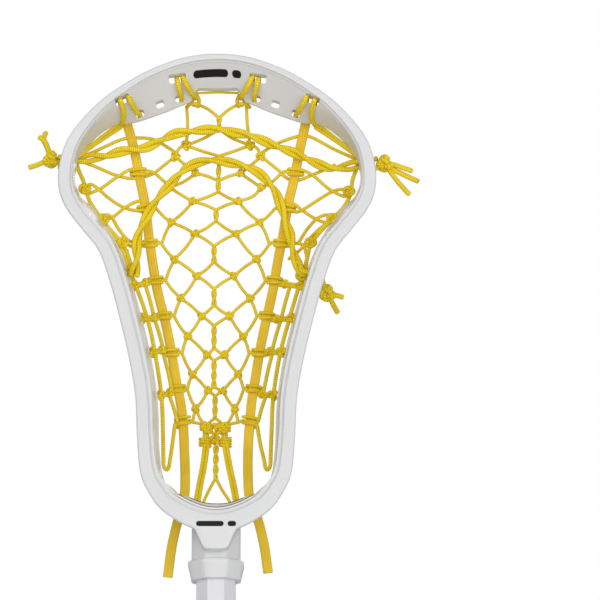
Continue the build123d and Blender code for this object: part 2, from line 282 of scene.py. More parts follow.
@dataclass(frozen=True)
class FoamPad:
    """Pale closed-cell foam of the ball stop."""

    colour: Colour = (0.90, 0.90, 0.89, 1)
    slot: str = "pad_foam"

    def make(self) -> bpy.types.Material:
        """Build the material."""
        sheet = Sheet("foam_pad")
        where = sheet.place()
        cells = sheet.node("TexVoronoi", None, Vector=where, Scale=1800.0).outputs["Distance"]
        rough = sheet.range(cells, 0.0, 0.6, 0.7, 0.9)
        worn = sheet.range(sheet.noise(where, 120.0, 4.0), 0.5, 0.75, 0.0, 0.5)
        sheet.dress(sheet.blend(worn, self.colour, (0.82, 0.82, 0.80, 1)), rough, cells, 0.00008)
        return sheet.material


@dataclass(frozen=True)
class TrimLine:
    """Thin line along one of the pad's edges, as painted shadow: near black along the back edge, brown along
    the front edge.
    """

    name: str
    colour: Colour
    slot: str = "pad_foam"

    def make(self) -> bpy.types.Material:
        """Build the material."""
        sheet = Sheet(self.name)
        speck = sheet.noise(sheet.place(), 900.0, 3.0)
        sheet.dress(self.colour, sheet.range(speck, 0.3, 0.7, 0.6, 0.8), speck, 0.00004)
        return sheet.material


@dataclass(frozen=True)
class MattRubber:
    """Black rubber of the end cap, dusty on its high spots."""

    colour: Colour = (0.022, 0.022, 0.024, 1)
    dust: Colour = (0.07, 0.068, 0.065, 1)
    slot: str = "cap_rubber"

    def make(self) -> bpy.types.Material:
        """Build the material."""
        sheet = Sheet("matt_rubber")
        where = sheet.place()
        pebble = sheet.node("TexVoronoi", None, Vector=where, Scale=1500.0).outputs["Distance"]
        worn = sheet.range(sheet.noise(where, 90.0, 5.0), 0.45, 0.75, 0.0, 0.8)
        rough = sheet.range(worn, 0.0, 1.0, 0.62, 0.8)
        sheet.dress(sheet.blend(worn, self.colour, self.dust), rough, pebble, 0.00008)
        return sheet.material


@dataclass(frozen=True)
class ZincSteel:
    """Zinc-plated steel of the screw, finely turned."""

    colour: Colour = (0.55, 0.55, 0.57, 1)
    slot: str = "screw_steel"

    def make(self) -> bpy.types.Material:
        """Build the material."""
        sheet = Sheet("zinc_steel")
        where = sheet.place()
        turned = sheet.noise(where, 3000.0, 3.0)
        rough = sheet.range(turned, 0.3, 0.7, 0.22, 0.42)
        sheet.dress(self.colour, rough, turned, 0.00002, Metallic=1.0)
        return sheet.material


@dataclass(frozen=True)
class PrintInk:
    """Black pad-printed ink of the plain marks on the head."""

    colour: Colour = (0.010, 0.010, 0.012, 1)
    slot: str = "head_plastic"

    def make(self) -> bpy.types.Material:
        """Build the material."""
        sheet = Sheet("print_ink")
        where = sheet.place()
        speck = sheet.noise(where, 2400.0, 2.0)
        sheet.dress(self.colour, sheet.range(speck, 0.3, 0.7, 0.45, 0.6), speck, 0.00001,
                    Specular_IOR_Level=0.2)
        return sheet.material


@dataclass(frozen=True)
class Paint:
    """A finish made once, with the record's slot that it belongs to."""

    material: bpy.types.Material
    slot: str


class Finishes:
    """Every finish of the stick, each made once."""

    def __init__(self) -> None:
        """Make the materials."""
        self.nylon = self._paint(MouldedNylon())
        self.tube = self._paint(CoatedTube())
        self.net = self._paint(BraidedCord())
        self.shooter = self._paint(BraidedCord("shooter_braid", strands=4.0, slot="shooter_cord"))
        self.tape = self._paint(WovenTape())
        self.foam = self._paint(FoamPad())
        # painted shadow lines of the ball stop: near black along the pad's back edge, brown along its front
        # edge
        self.skin = self._paint(TrimLine("pad_back_shadow", (0.02, 0.018, 0.017, 1)))
        self.front_shadow = self._paint(TrimLine("pad_front_shadow", (0.20, 0.13, 0.09, 1)))
        self.rubber = self._paint(MattRubber())
        self.steel = self._paint(ZincSteel())
        self.ink = self._paint(PrintInk())

    @staticmethod
    def _paint(finish) -> Paint:
        """Make a finish's material and keep its slot."""
        return Paint(finish.make(), finish.slot)


# ------------------------------------------------------------------ lines and meshes


def smooth_line(points: Sequence[Vector], step: float = 1.1, closed: bool = False) -> list[Vector]:
    """Smooth curve through points, as a centripetal Catmull-Rom curve.

    Args:
        points: the points that the curve goes through, in metres.
        step: distance between the curve's own points, in millimetres.
        closed: join the end to the start.

    Returns:
        The curve's points.
    """
    if closed:
        padded = [points[-1], *points, points[0], points[1]]
    else:
        padded = [2 * points[0] - points[1], *points, 2 * points[-1] - points[-2]]
    line: list[Vector] = []
    for a, b, c, d in zip(padded, padded[1:], padded[2:], padded[3:]):
        times = [0.0]
        for first, second in ((a, b), (b, c), (c, d)):
            times.append(times[-1] + max((second - first).length, 1e-6) ** 0.5)
        count = max(2, round((c - b).length / (step * MM)))
        for i in range(count):
            t = mix(times[1], times[2], i / count)
            low = [p * ((times[k + 1] - t) / (times[k + 1] - times[k])) + q
                   * ((t - times[k]) / (times[k + 1] - times[k]))
                   for k, (p, q) in enumerate(((a, b), (b, c), (c, d)))]
            mid = [p * ((times[k + 2] - t) / (times[k + 2] - times[k])) + q
                   * ((t - times[k]) / (times[k + 2] - times[k]))
                   for k, (p, q) in enumerate(((low[0], low[1]), (low[1], low[2])))]
            line.append(mid[0] * ((times[2] - t) / (times[2] - times[1])) + mid[1]
                        * ((t - times[1]) / (times[2] - times[1])))
    if not closed:
        line.append(points[-1].copy())
    return line


def carried_frames(line: Sequence[Vector], closed: bool = False) -> list[tuple[Vector, Vector]]:
    """Two directions across a line at each of its points, turning as little as they can.

    Args:
        line: the line's points.
        closed: the line's end joins its start, and so do the directions.

    Returns:
        One (side, up) pair a point.
    """
    count = len(line)
    tangents = []
    for i in range(count):
        before = line[i - 1] if closed or i else line[i]
        after = line[(i + 1) % count] if closed or i < count - 1 else line[i]
        tangents.append((after - before).normalized())
    start = Vector((0, 1, 0)) if abs(tangents[0].y) < 0.9 else Vector((1, 0, 0))
    side = (start - tangents[0] * start.dot(tangents[0])).normalized()
    pairs = []
    for tangent in tangents:
        side = (side - tangent * side.dot(tangent)).normalized()
        pairs.append((side, tangent.cross(side)))
    if closed:
        last_side = pairs[-1][0]
        first_side, first_up = pairs[0]
        slip = math.atan2(last_side.dot(first_up), last_side.dot(first_side))
        pairs = [
            (s * math.cos(-slip * i / count) + u * math.sin(-slip * i / count),
             u * math.cos(-slip * i / count) - s * math.sin(-slip * i / count))
            for i, (s, u) in enumerate(pairs)
        ]
    return pairs


class MeshMaker:
    """Collects tubes and bands into one mesh, with coordinates along and round each of them."""

    def __init__(self, name: str) -> None:
        """Start an empty piece.

        Args:
            name: the piece's name.
        """
        self.name = name
        self.points: list[Vector] = []
        self.faces: list[tuple[int, ...]] = []
        self.wraps: list[tuple[tuple[float, float], ...]] = []

    def face(self, corners: Sequence[int], wrap: Sequence[tuple[float, float]]) -> None:
        """Add a face with its surface coordinates."""
        self.faces.append(tuple(corners))
        self.wraps.append(tuple(wrap))

    def tube(self, line: Sequence[Vector], radius: float, sides: int = 10, closed: bool = False) -> None:
        """Add a round cord along a line.

        Args:
            line: the cord's centreline, in metres.
            radius: the cord's radius, in millimetres.
            sides: faces round the cord.
            closed: the cord joins its own start.
        """
        size = radius * MM
        pairs = carried_frames(line, closed)
        base = len(self.points)
        for point, (side, up) in zip(line, pairs):
            for k in range(sides):
                angle = math.tau * k / sides
                self.points.append(point + side * (size * math.cos(angle)) + up * (size * math.sin(angle)))
        travelled, marks = 0.0, [0.0]
        for a, b in zip(line, list(line[1:]) + [line[0]]):
            travelled += (b - a).length / (math.tau * size)
            marks.append(travelled)
        if closed:
            whole = max(1, round(marks[-1]))
            marks = [m * whole / marks[-1] for m in marks]
        count = len(line)
        for i in range(count if closed else count - 1):
            after = (i + 1) % count
            for k in range(sides):
                nxt = (k + 1) % sides
                corners = (base + i * sides + k, base + i * sides + nxt, base + after * sides + nxt,
                           base + after * sides + k)
                wrap = ((k / sides, marks[i]), ((k + 1) / sides, marks[i]),
                        ((k + 1) / sides, marks[i + 1]), (k / sides, marks[i + 1]))
                self.face(corners, wrap)
        if not closed:
            self._round_end(base, sides, line[0], (line[0] - line[1]).normalized() * size, marks[0], True)
            self._round_end(base + (count - 1) * sides, sides, line[-1],
                            (line[-1] - line[-2]).normalized() * size, marks[count - 1], False)

    def _round_end(self, ring: int, sides: int, middle: Vector, outward: Vector, mark: float,
                   first: bool) -> None:
        """Close a tube's end with a low dome.

        Args:
            ring: index of the end ring's first point.
            sides: points in the ring.
            middle: the ring's centre.
            outward: direction of the dome, as long as the tube's radius.
            mark: the end's coordinate along the tube.
            first: the end is the tube's start.
        """
        inner = len(self.points)
        for k in range(sides):
            self.points.append(middle + (self.points[ring + k] - middle) * 0.72 + outward * 0.3)
        tip = len(self.points)
        self.points.append(middle + outward * 0.42)
        for k in range(sides):
            nxt = (k + 1) % sides
            band = [ring + k, ring + nxt, inner + nxt, inner + k]
            fan = [inner + k, inner + nxt, tip]
            if first:
                band.reverse()
                fan.reverse()
            self.face(band, ((k / sides, mark),) * 4)
            self.face(fan, ((k / sides, mark),) * 3)

    def band(self, line: Sequence[Vector], flat: Sequence[Vector], width: float, thickness: float) -> None:
        """Add a flat tape with rounded edges.

        Args:
            line: the tape's centreline, in metres.
            flat: the direction across the tape's face at each point.
            width: the tape's width, in millimetres.
            thickness: the tape's thickness, in millimetres.
        """
        half, thin = width / 2, thickness / 2
        outline = [(-half, 0.0), (-half + 0.25, thin * 0.75), (-half + 0.7, thin), (-half * 0.4, thin * 0.94),
                   (half * 0.4, thin * 0.94), (half - 0.7, thin), (half - 0.25, thin * 0.75), (half, 0.0)]
        outline += [(x, -y) for x, y in reversed(outline[1:-1])]
        sides = len(outline)
        base = len(self.points)
        travelled, marks = 0.0, []
        for i, point in enumerate(line):
            before, after = line[max(0, i - 1)], line[min(len(line) - 1, i + 1)]
            tangent = (after - before).normalized()
            across = (flat[i] - tangent * flat[i].dot(tangent)).normalized()
            up = tangent.cross(across)
            travelled += (point - line[max(0, i - 1)]).length / MM
            marks.append(travelled)
            for x, y in outline:
                self.points.append(point + across * (x * MM) + up * (y * MM))
        for i in range(len(line) - 1):
            for k in range(sides):
                nxt = (k + 1) % sides
                corners = (base + i * sides + k, base + i * sides + nxt, base + (i + 1) * sides + nxt,
                           base + (i + 1) * sides + k)
                wrap = ((outline[k][0], marks[i]), (outline[nxt][0], marks[i]),
                        (outline[nxt][0], marks[i + 1]), (outline[k][0], marks[i + 1]))
                self.face(corners, wrap)
        for i, order in ((0, range(sides - 1, -1, -1)), (len(line) - 1, range(sides))):
            self.face([base + i * sides + k for k in order], [(outline[k][0], marks[i]) for k in order])

    def build(self, paint: Paint, body: str = STICK, stands_for: Iterable[str] = ()) -> bpy.types.Object:
        """Turn what was collected into a piece that rides on a body.

        Args:
            paint: the finish.
            body: the body that the piece moves with.
            stands_for: CAD nodes that the piece takes the place of.

        Returns:
            The new object.
        """
        mesh = bpy.data.meshes.new(self.name)
        mesh.from_pydata(self.points, [], self.faces)
        layer = mesh.uv_layers.new(name="UVMap")
        flat = [value for wrap in self.wraps for pair in wrap for value in pair]
        layer.data.foreach_set("uv", flat)
        return dress_mesh(self.name, mesh, paint, body, stands_for)


def join_rows(made: bmesh.types.BMesh, rows: Sequence[Sequence[bmesh.types.BMVert]],
              capped: bool = True) -> None:
    """Cover closed rows of corners with faces.

    Args:
        made: the mesh being built.
        rows: the rows in order, each with the same number of corners.
        capped: close the first and last rows with a face each.
    """
    for low, high in zip(rows, rows[1:]):
        for k in range(len(low)):
            nxt = (k + 1) % len(low)
            made.faces.new((low[k], low[nxt], high[nxt], high[k]))
    if capped:
        made.faces.new(rows[0])
        made.faces.new(rows[-1])


def dress_mesh(
    name: str, mesh: bpy.types.Mesh, paint: Paint, body: str = STICK, stands_for: Iterable[str] = (),
    crease: float = 50.0
) -> bpy.types.Object:
    """Make a piece from a mesh: material, smooth shading and body.

    Args:
        name: the piece's name.
        mesh: its mesh, in the frame's metres.
        paint: its finish.
        body: the body that it moves with.
        stands_for: CAD nodes that it takes the place of.
        crease: edges sharper than this angle, in degrees, stay sharp.

    Returns:
        The new object.
    """
    mesh.materials.clear()
    mesh.materials.append(paint.material)
    mesh.polygons.foreach_set("use_smooth", [True] * len(mesh.polygons))
    mesh.set_sharp_from_angle(angle=math.radians(crease))
    mesh.update()
    piece = bpy.data.objects.new(name, mesh)
    bpy.context.scene.collection.objects.link(piece)
    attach(piece, body)
    nodes = list(stands_for)
    if nodes:
        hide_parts(*nodes)
    log.info("%s: %d faces", name, len(mesh.polygons))
    return piece


# ------------------------------------------------------------------ head


@dataclass(frozen=True)
class Ring:
    """One cross-section of the head's hoop."""

    x: float
    height: float
    rim_depth: float
    back_depth: float
    rim_width: float
    back_inset: float
    back_thickness: float
    groove: float

    def towards(self, other: "Ring", share: float, before: "Ring", after: "Ring") -> "Ring":
        """Ring on the smooth curve from this one to the next.

        Args:
            other: the next ring.
            share: how far along, from 0 to 1.
            before: the ring before this one.
            after: the ring after the next one.

        Returns:
            The ring in between.
        """
        values = []
        for p, q, r, s in zip(before.numbers(), self.numbers(), other.numbers(), after.numbers()):
            bend = 2 * p - 5 * q + 4 * r - s + share * (3 * (q - r) + s - p)
            values.append(q + 0.5 * share * (r - p + share * bend))
        return Ring(*values)

    def numbers(self) -> tuple[float, ...]:
        """The ring's sizes in order."""
        return (self.x, self.height, self.rim_depth, self.back_depth, self.rim_width,
                self.back_inset, self.back_thickness, self.groove)

    def mirrored(self) -> "Ring":
        """The same ring on the other side of the stick."""
        return Ring(-self.x, *self.numbers()[1:])


HOOP = (
    Ring(0.0, 303.5, -32.0, -7.0, 3.7, 20.3, 3.0, 0.0),
    Ring(20.0, 301.0, -32.0, -7.0, 3.8, 20.5, 3.0, 0.0),
    Ring(40.0, 293.5, -31.5, -6.5, 4.0, 20.8, 3.0, 0.0),
    Ring(56.0, 284.0, -31.0, -6.0, 4.4, 17.5, 3.0, 0.0),
    Ring(67.5, 275.5, -30.4, -5.5, 4.8, 11.0, 3.0, 0.0),
    Ring(78.5, 264.1, -29.4, -5.0, 5.5, 8.4, 3.0, 0.0),
    Ring(86.7, 252.0, -28.2, -4.0, 6.3, 8.0, 3.0, 0.1),
    Ring(91.0, 237.0, -26.8, -2.5, 6.9, 8.6, 3.2, 0.2),
    Ring(90.6, 223.0, -25.7, -0.5, 7.0, 12.0, 3.5, 0.4),
    Ring(85.7, 211.7, -25.0, 1.5, 7.0, 15.5, 4.0, 0.6),
    Ring(76.7, 200.0, -24.3, 4.0, 7.0, 15.8, 4.0, 0.8),
    Ring(67.8, 188.3, -23.7, 6.5, 7.0, 13.6, 4.0, 1.0),
    Ring(61.4, 171.0, -22.8, 9.0, 7.0, 13.0, 4.0, 1.0),
    Ring(55.0, 147.5, -22.0, 11.2, 7.0, 13.2, 4.0, 1.0),
    Ring(49.5, 124.0, -22.0, 13.0, 7.0, 12.8, 4.0, 1.0),
    Ring(46.0, 103.0, -22.0, 14.2, 7.0, 12.0, 4.0, 1.0),
    Ring(44.8, 80.0, -22.0, 15.4, 7.0, 11.6, 4.0, 1.0),
    Ring(43.0, 60.0, -22.0, 16.0, 7.4, 12.8, 4.6, 1.0),
    Ring(38.7, 48.7, -22.0, 16.0, 7.9, 16.2, 6.0, 1.0),
    Ring(30.5, 37.4, -22.0, 16.0, 8.9, 19.2, 7.8, 1.0),
    Ring(15.6, 28.0, -22.0, 16.0, 10.0, 21.4, 9.8, 1.0),
    Ring(0.0, 24.6, -22.0, 16.0, 10.4, 22.6, 10.6, 1.0),
)


@dataclass(frozen=True)
class Opening:
    """A hole cut through the head: where it is, how large, which way it goes and its tilt."""

    x: float
    depth: float
    height: float
    size: tuple[float, float, float]
    rounding: float
    tilt: float = 0.0


class HeadShape:
    """The hoop of the head as a smooth run of rings, and places on its walls."""

    recesses = ((73.0, 103.0), (109.0, 139.0), (145.0, 172.0))
    recess_from_x = 40.0
    recess_depth = 1.3
    recess_ease = 2.6

    def __init__(self, steps: int = 12) -> None:
        """Work out the rings.

        Args:
            steps: rings made for each one given.
        """
        padded = [HOOP[1].mirrored(), *HOOP, HOOP[-2].mirrored()]
        self.rings: list[Ring] = []
        for a, b, c, d in zip(padded, padded[1:], padded[2:], padded[3:]):
            self.rings += [b.towards(c, i / steps, a, d) for i in range(steps)]
        self.rings.append(HOOP[-1])
        self.inward = [(0.0, -1.0)]
        for before, after in zip(self.rings, self.rings[2:]):
            run_x, run_z = after.x - before.x, after.height - before.height
            size = math.hypot(run_x, run_z)
            self.inward.append((run_z / size, -run_x / size))
        self.inward.append((0.0, 1.0))

    @staticmethod
    def profile(ring: Ring) -> list[tuple[float, float]]:
        """Outline of a cross-section as (inset, depth) corners, from the rim's outer edge round.

        Args:
            ring: the cross-section's sizes.

        Returns:
            The corners, the same number for every ring.
        """
        rim, front, back = ring.rim_width, ring.rim_depth, ring.back_depth
        inset, outer = ring.back_inset, ring.back_inset - ring.back_thickness
        g, cut = ring.groove, front + 2.0
        step = g * min(1.0, (inset - rim) / 5.8)
        ledge = rim + 0.9 + 1.7 * step
        drop = cut + 1.2 + 1.0 * step
        wall = [(mix(ledge + 0.25, inset - 0.9 * step, t), mix(drop, back - 2.2, t))
                for t in (0.0, 0.25, 0.5, 0.75, 1.0)]
        sunk = HeadShape.recess(ring)
        skin = [(mix(0.0, outer, t ** 1.3) + sunk * sink, mix(front + 2.2, back - 1.0, t))
                for t, sink in ((0.85, 0), (0.76, 0), (0.73, 1), (0.6, 1), (0.4, 1), (0.27, 1), (0.24, 0),
                                (0.12, 0))]
        return [
            (0.0, front + 1.3), (0.12, front + 0.75), (0.45, front + 0.3), (0.95, front + 0.06), (1.6, front),
            (rim - 1.2, front - 0.02), (rim - 0.6, front + 0.08), (rim - 0.2, front + 0.35),
            (rim, front + 0.8),
            (rim, cut + 0.3 * g), (rim + 0.15, cut + 0.6 * g), (rim + 0.5 + 0.1 * g, cut + 0.6 * g),
            (rim + 0.8, cut + 0.35), (ledge - 0.15 * step, cut + 0.5), (ledge, cut + 0.9),
            *wall,
            (inset - 0.35 * step, back - 2.0), (inset, back - 1.4), (inset, back - 0.7),
            (inset - 0.2, back - 0.2),
            (inset - 0.7, back), (outer + 0.7, back), (outer + 0.2, back - 0.2), (outer, back - 0.8),
            *skin,
        ]

    @staticmethod
    def recess(ring: Ring) -> float:
        """Depth of the blind recesses moulded into the outside of the side walls.

        Args:
            ring: the cross-section.

        Returns:
            The depth in millimetres, easing to nothing at the ends of each recess.
        """
        if ring.x < HeadShape.recess_from_x:
            return 0.0
        near = 0.0
        for low, high in HeadShape.recesses:
            if low <= ring.height <= high:
                near = min(ring.height - low, high - ring.height)
        return HeadShape.recess_depth * min(1.0, near / HeadShape.recess_ease)

    def at(self, index: int, inset: float, depth: float, side: int = 1) -> Vector:
        """Point at an inset and depth on one ring; side is 1 for +X and -1 for -X."""
        ring, (nx, nz) = self.rings[index], self.inward[index]
        return spot(side * (ring.x + inset * nx), depth, ring.height + inset * nz)

    def nearest(self, x: float, height: float) -> tuple[int, float]:
        """Ring that passes over a place, and the place's inset from the outer edge."""
        found = min(range(len(self.rings)),
                    key=lambda i: (self.rings[i].x - abs(x)) ** 2 + (self.rings[i].height - height) ** 2)
        ring = self.rings[found]
        return found, math.hypot(ring.x - abs(x), ring.height - height)

    def over(self, x: float) -> Ring:
        """Section of the scoop's top at an x, between the rings beside it."""
        out = abs(x)
        for a, b in zip(self.rings, self.rings[1:]):
            if a.x <= out <= b.x:
                share = (out - a.x) / max(b.x - a.x, 1e-6)
                return Ring(*(mix(p, q, share) for p, q in zip(a.numbers(), b.numbers())))
        return self.rings[0]

    @staticmethod
    def slope(ring: Ring, inset: float) -> float:
        """Depth of a section's inner wall at an inset."""
        start = ring.rim_width + 1.15
        share = (inset - start) / (ring.back_inset - start)
        return mix(ring.rim_depth + 3.2, ring.back_depth - 2.2, min(1.0, max(0.0, share)))

    def wall_depth(self, x: float, height: float) -> float:
        """Depth of the hoop's inner wall at a place."""
        index, inset = self.nearest(x, height)
        return self.slope(self.rings[index], inset)

    def on_wall(self, x: float, height: float, lift: float) -> Vector:
        """Point standing off the inner wall, towards the ball, by a lift in millimetres."""
        index, _ = self.nearest(x, height)
        ring, (nx, nz) = self.rings[index], self.inward[index]
        run = (ring.back_inset - ring.rim_width, ring.back_depth - ring.rim_depth - 2.0)
        size = math.hypot(*run)
        off_inset, off_depth = run[1] / size * lift, -run[0] / size * lift
        side = 1 if x >= 0 else -1
        return spot(x + side * nx * off_inset, self.wall_depth(x, height) + off_depth,
                    height + nz * off_inset)

    def mesh(self) -> bmesh.types.BMesh:
        """Closed mesh of the whole hoop."""
        hoop = bmesh.new()
        loops: list[list[bmesh.types.BMVert]] = []
        count = len(self.rings)
        order = [(i, 1) for i in range(count)] + [(i, -1) for i in range(count - 2, 0, -1)]
        for index, side in order:
            corners = self.profile(self.rings[index])
            loops.append([hoop.verts.new(self.at(index, n, y, side)) for n, y in corners])
        join_rows(hoop, loops + loops[:1], capped=False)
        bmesh.ops.recalc_face_normals(hoop, faces=hoop.faces[:])
        return hoop


@dataclass
class Head:
    """The moulded head: hoop, neck with its octagonal socket, shield, notch, slots and string holes."""

    shape: HeadShape
    finishes: Finishes
    socket_flats: float = 22.3
    socket_depth: float = 38.0
    collar_flats: float = 31.6
    collar_low_flats: float = 27.8
    sleeve_flats: float = 27.6
    screw_height: float = 22.0
    scoop_openings: tuple[Opening, ...] = (
        Opening(54.7, -18.0, 277.3, (9.0, 60.0, 3.4), 0.9, 27.0),
        Opening(23.2, -18.0, 290.8, (10.0, 60.0, 4.0), 0.9, 11.0),
        Opening(22.3, -18.0, 281.8, (5.0, 60.0, 3.0), 1.2, 15.0),
        Opening(33.4, -18.0, 278.2, (5.0, 60.0, 3.2), 1.2, 20.0),
        Opening(45.1, -18.0, 272.8, (5.0, 60.0, 3.0), 1.2, 22.0),
    )
    side_openings: tuple[Opening, ...] = (
        Opening(0.0, -6.4, 245.0, (220.0, 8.6, 4.6), 2.0),
        Opening(0.0, 1.7, 181.4, (220.0, 8.6, 5.0), 2.0),
    )

    def prism(self, name: str, levels: Sequence[tuple[float, float]],
              corner: float = 1.3) -> bpy.types.Object:
        """Octagonal solid with rounded corners.

        Args:
            name: the object's name.
            levels: (height, width across the flats) of each level, from the bottom.
            corner: how far the corners are cut back along the flats.

        Returns:
            A working object, removed once it is used.
        """
        made = bmesh.new()
        rows = []
        for height, flats in levels:
            row = []
            apothem = flats / 2
            half_side = apothem * math.tan(math.pi / 8)
            for k in range(8):
                angle = k * math.pi / 4
                out = (math.cos(angle), math.sin(angle))
                for share in (-1.0, -0.5, 0.5, 1.0):
                    slide = share * (half_side - corner * 0.5)
                    point = (out[0] * apothem - out[1] * slide, out[1] * apothem + out[0] * slide)
                    row.append(made.verts.new(spot(point[0], point[1], height)))
            rows.append(row)
        join_rows(made, rows)
        return self.solid(name, made)

    @staticmethod
    def solid(name: str, made: bmesh.types.BMesh) -> bpy.types.Object:
        """Turn a bmesh into a working object."""
        bmesh.ops.recalc_face_normals(made, faces=made.faces[:])
        mesh = bpy.data.meshes.new(name)
        made.to_mesh(mesh)
        made.free()
        thing = bpy.data.objects.new(name, mesh)
        bpy.context.scene.collection.objects.link(thing)
        return thing

    def cutter(self, opening: Opening, side: int) -> bpy.types.Object:
        """Rounded block for one opening, running along its longest size."""
        made = bmesh.new()
        long_way = max(range(3), key=lambda i: opening.size[i])
        across = [i for i in range(3) if i != long_way]
        half = [s / 2 for s in opening.size]
        outline = []
        for cx, cy, start in ((1, 1, 0), (-1, 1, 90), (-1, -1, 180), (1, -1, 270)):
            for turn in range(0, 91, 18):
                angle = math.radians(start + turn)
                outline.append((cx * (half[across[0]] - opening.rounding) + opening.rounding
                                * math.cos(angle),
                                cy * (half[across[1]] - opening.rounding) + opening.rounding
                                * math.sin(angle)))
        ends = []
        tilt = math.radians(side * opening.tilt)
        for way in (-1, 1):
            ring = []
            for a, b in outline:
                local = [0.0, 0.0, 0.0]
                local[long_way], local[across[0]], local[across[1]] = way * half[long_way], a, b
                x = local[0] * math.cos(tilt) + local[2] * math.sin(tilt)
                z = -local[0] * math.sin(tilt) + local[2] * math.cos(tilt)
                ring.append(made.verts.new(spot(side * opening.x + x, opening.depth + local[1],
                                                opening.height + z)))
            ends.append(ring)
        join_rows(made, ends)
        return self.solid("cutter", made)

    def notch(self) -> bpy.types.Object:
        """Block that cuts the notch in the scoop's back edge."""
        outline = [(-17.5, 278.8), (-15.4, 281.9), (-12.5, 286.2), (-11.6, 287.1), (-10.4, 287.4)]
        outline += [(-x, z) for x, z in reversed(outline)]
        made = bmesh.new()
        rows = [[made.verts.new(spot(x, depth, z)) for x, z in outline] for depth in (2.0, -20.0)]
        join_rows(made, rows)
        return self.solid("notch", made)

    def shield(self) -> bpy.types.Object:
        """Plate on the throat's front that runs down over the sleeve."""
        outline = [(-17, 33), (-14.4, 29.4), (-12.6, 27.6), (-11.3, 25.6), (-8.0, 18.2), (-7.0, 16.2),
                   (-5.6, 15.2)]
        outline += [(0, 14.9)] + [(-x, z) for x, z in reversed(outline)]
        made = bmesh.new()
        rows = []
        for depth, shrink in ((-11.0, 0.0), (-21.2, 0.0), (-21.7, 0.25), (-21.95, 0.8)):
            rows.append([made.verts.new(spot(x - math.copysign(min(shrink, abs(x)), x) if x else 0.0, depth,
                                             z + (shrink if z < 32 else 0))) for x, z in outline])
        join_rows(made, rows)
        return self.solid("shield", made)

    def drill(self, radius: float, start: float, end: float) -> bpy.types.Object:
        """Round hole along the depth at the screw's height."""
        made = bmesh.new()
        rings = [[made.verts.new(spot(radius * math.cos(a), depth, self.screw_height + radius * math.sin(a)))
                  for a in (math.tau * k / 32 for k in range(32))] for depth in (start, end)]
        join_rows(made, rings)
        return self.solid("drill", made)

    @staticmethod
    def combine(target: bpy.types.Object, tools: Sequence[bpy.types.Object], way: str) -> None:
        """Join tools to a working object, or cut it with them, and remove them."""
        for tool in tools:
            step = target.modifiers.new("combine", "BOOLEAN")
            step.operation, step.solver, step.object = way, "EXACT", tool
            graph = bpy.context.evaluated_depsgraph_get()
            result = bpy.data.meshes.new_from_object(target.evaluated_get(graph))
            target.modifiers.clear()
            target.data = result
            bpy.data.objects.remove(tool)

    def build(self) -> bpy.types.Object:
        """Build the whole head as one closed mesh."""
        head = self.solid("working_head", self.shape.mesh())
        neck = self.prism("neck", [
            (0.0, self.collar_low_flats - 1.2), (0.35, self.collar_low_flats), (7.6, self.collar_flats - 0.6),
            (8.6, self.collar_flats), (9.8, self.collar_flats), (10.6, self.collar_flats - 0.5),
            (11.6, self.sleeve_flats + 0.5), (11.7, self.sleeve_flats), (36.8, self.sleeve_flats),
        ])
        self.combine(head, [neck, self.shield()], "UNION")
        socket = self.prism("socket", [(-5.0, self.socket_flats), (self.socket_depth, self.socket_flats)],
                            1.4)
        seat = self.sleeve_flats / 2 - 1.6
        cuts = [socket, self.notch(), self.drill(1.8, 0.0, 40.0), self.drill(3.5, seat, seat + 20.0)]
        cuts += [self.cutter(o, side) for o in self.scoop_openings for side in (-1, 1)]
        cuts += [self.cutter(o, 1) for o in self.side_openings]
        self.combine(head, cuts, "DIFFERENCE")
        mesh = head.data
        bpy.data.objects.remove(head)
        return dress_mesh("moulded_head", mesh, self.finishes.nylon, stands_for=["head"], crease=32.0)

    def mark(self, name: str, start: float, end: float, inset: float, width: float) -> bpy.types.Object:
        """Plain printed bar on the scoop's inner wall.

        Args:
            name: the piece's name.
            start: x of its left end.
            end: x of its right end.
            inset: distance of its middle from the head's outer edge.
            width: its width.

        Returns:
            The new piece.
        """
        made = bmesh.new()
        rows = []
        columns, radius = 40, width / 2
        for i in range(columns + 1):
            angle = math.pi * i / columns
            x = (start + end) / 2 - math.cos(angle) * (end - start) / 2
            near = min(x - start, end - x, radius)
            half = math.sqrt(max(0.0, radius ** 2 - (radius - near) ** 2)) + 0.01
            ring = self.shape.over(x)
            row = []
            for share in (-1.0, 0.0, 1.0):
                n = inset + share * half
                row.append(made.verts.new(spot(x, self.shape.wall_depth(x, ring.height - n) - 0.2,
                                               ring.height - n)))
            rows.append(row)
        for this, after in zip(rows, rows[1:]):
            for k in range(2):
                made.faces.new((this[k], this[k + 1], after[k + 1], after[k]))
        return self.printed(name, made)

    def shield_mark(self, name: str, start: float, end: float, height: float,
                    width: float) -> bpy.types.Object:
        """Plain printed bar with round ends on the throat's flat front."""
        made = bmesh.new()
        radius = width / 2
        corners = []
        for centre, first in ((end - radius, -90), (start + radius, 90)):
            for k in range(13):
                angle = math.radians(first + 15 * k)
                corners.append(made.verts.new(spot(centre + radius * math.cos(angle), -22.07,
                                                   height + radius * math.sin(angle))))
        made.faces.new(corners)
        return self.printed(name, made)

    def printed(self, name: str, made: bmesh.types.BMesh) -> bpy.types.Object:
        """Turn a flat patch into a very thin printed piece."""
        made.normal_update()
        bmesh.ops.solidify(made, geom=made.faces[:], thickness=0.03 * MM)
        mesh = bpy.data.meshes.new(name)
        made.to_mesh(mesh)
        made.free()
        return dress_mesh(name, mesh, self.finishes.ink)


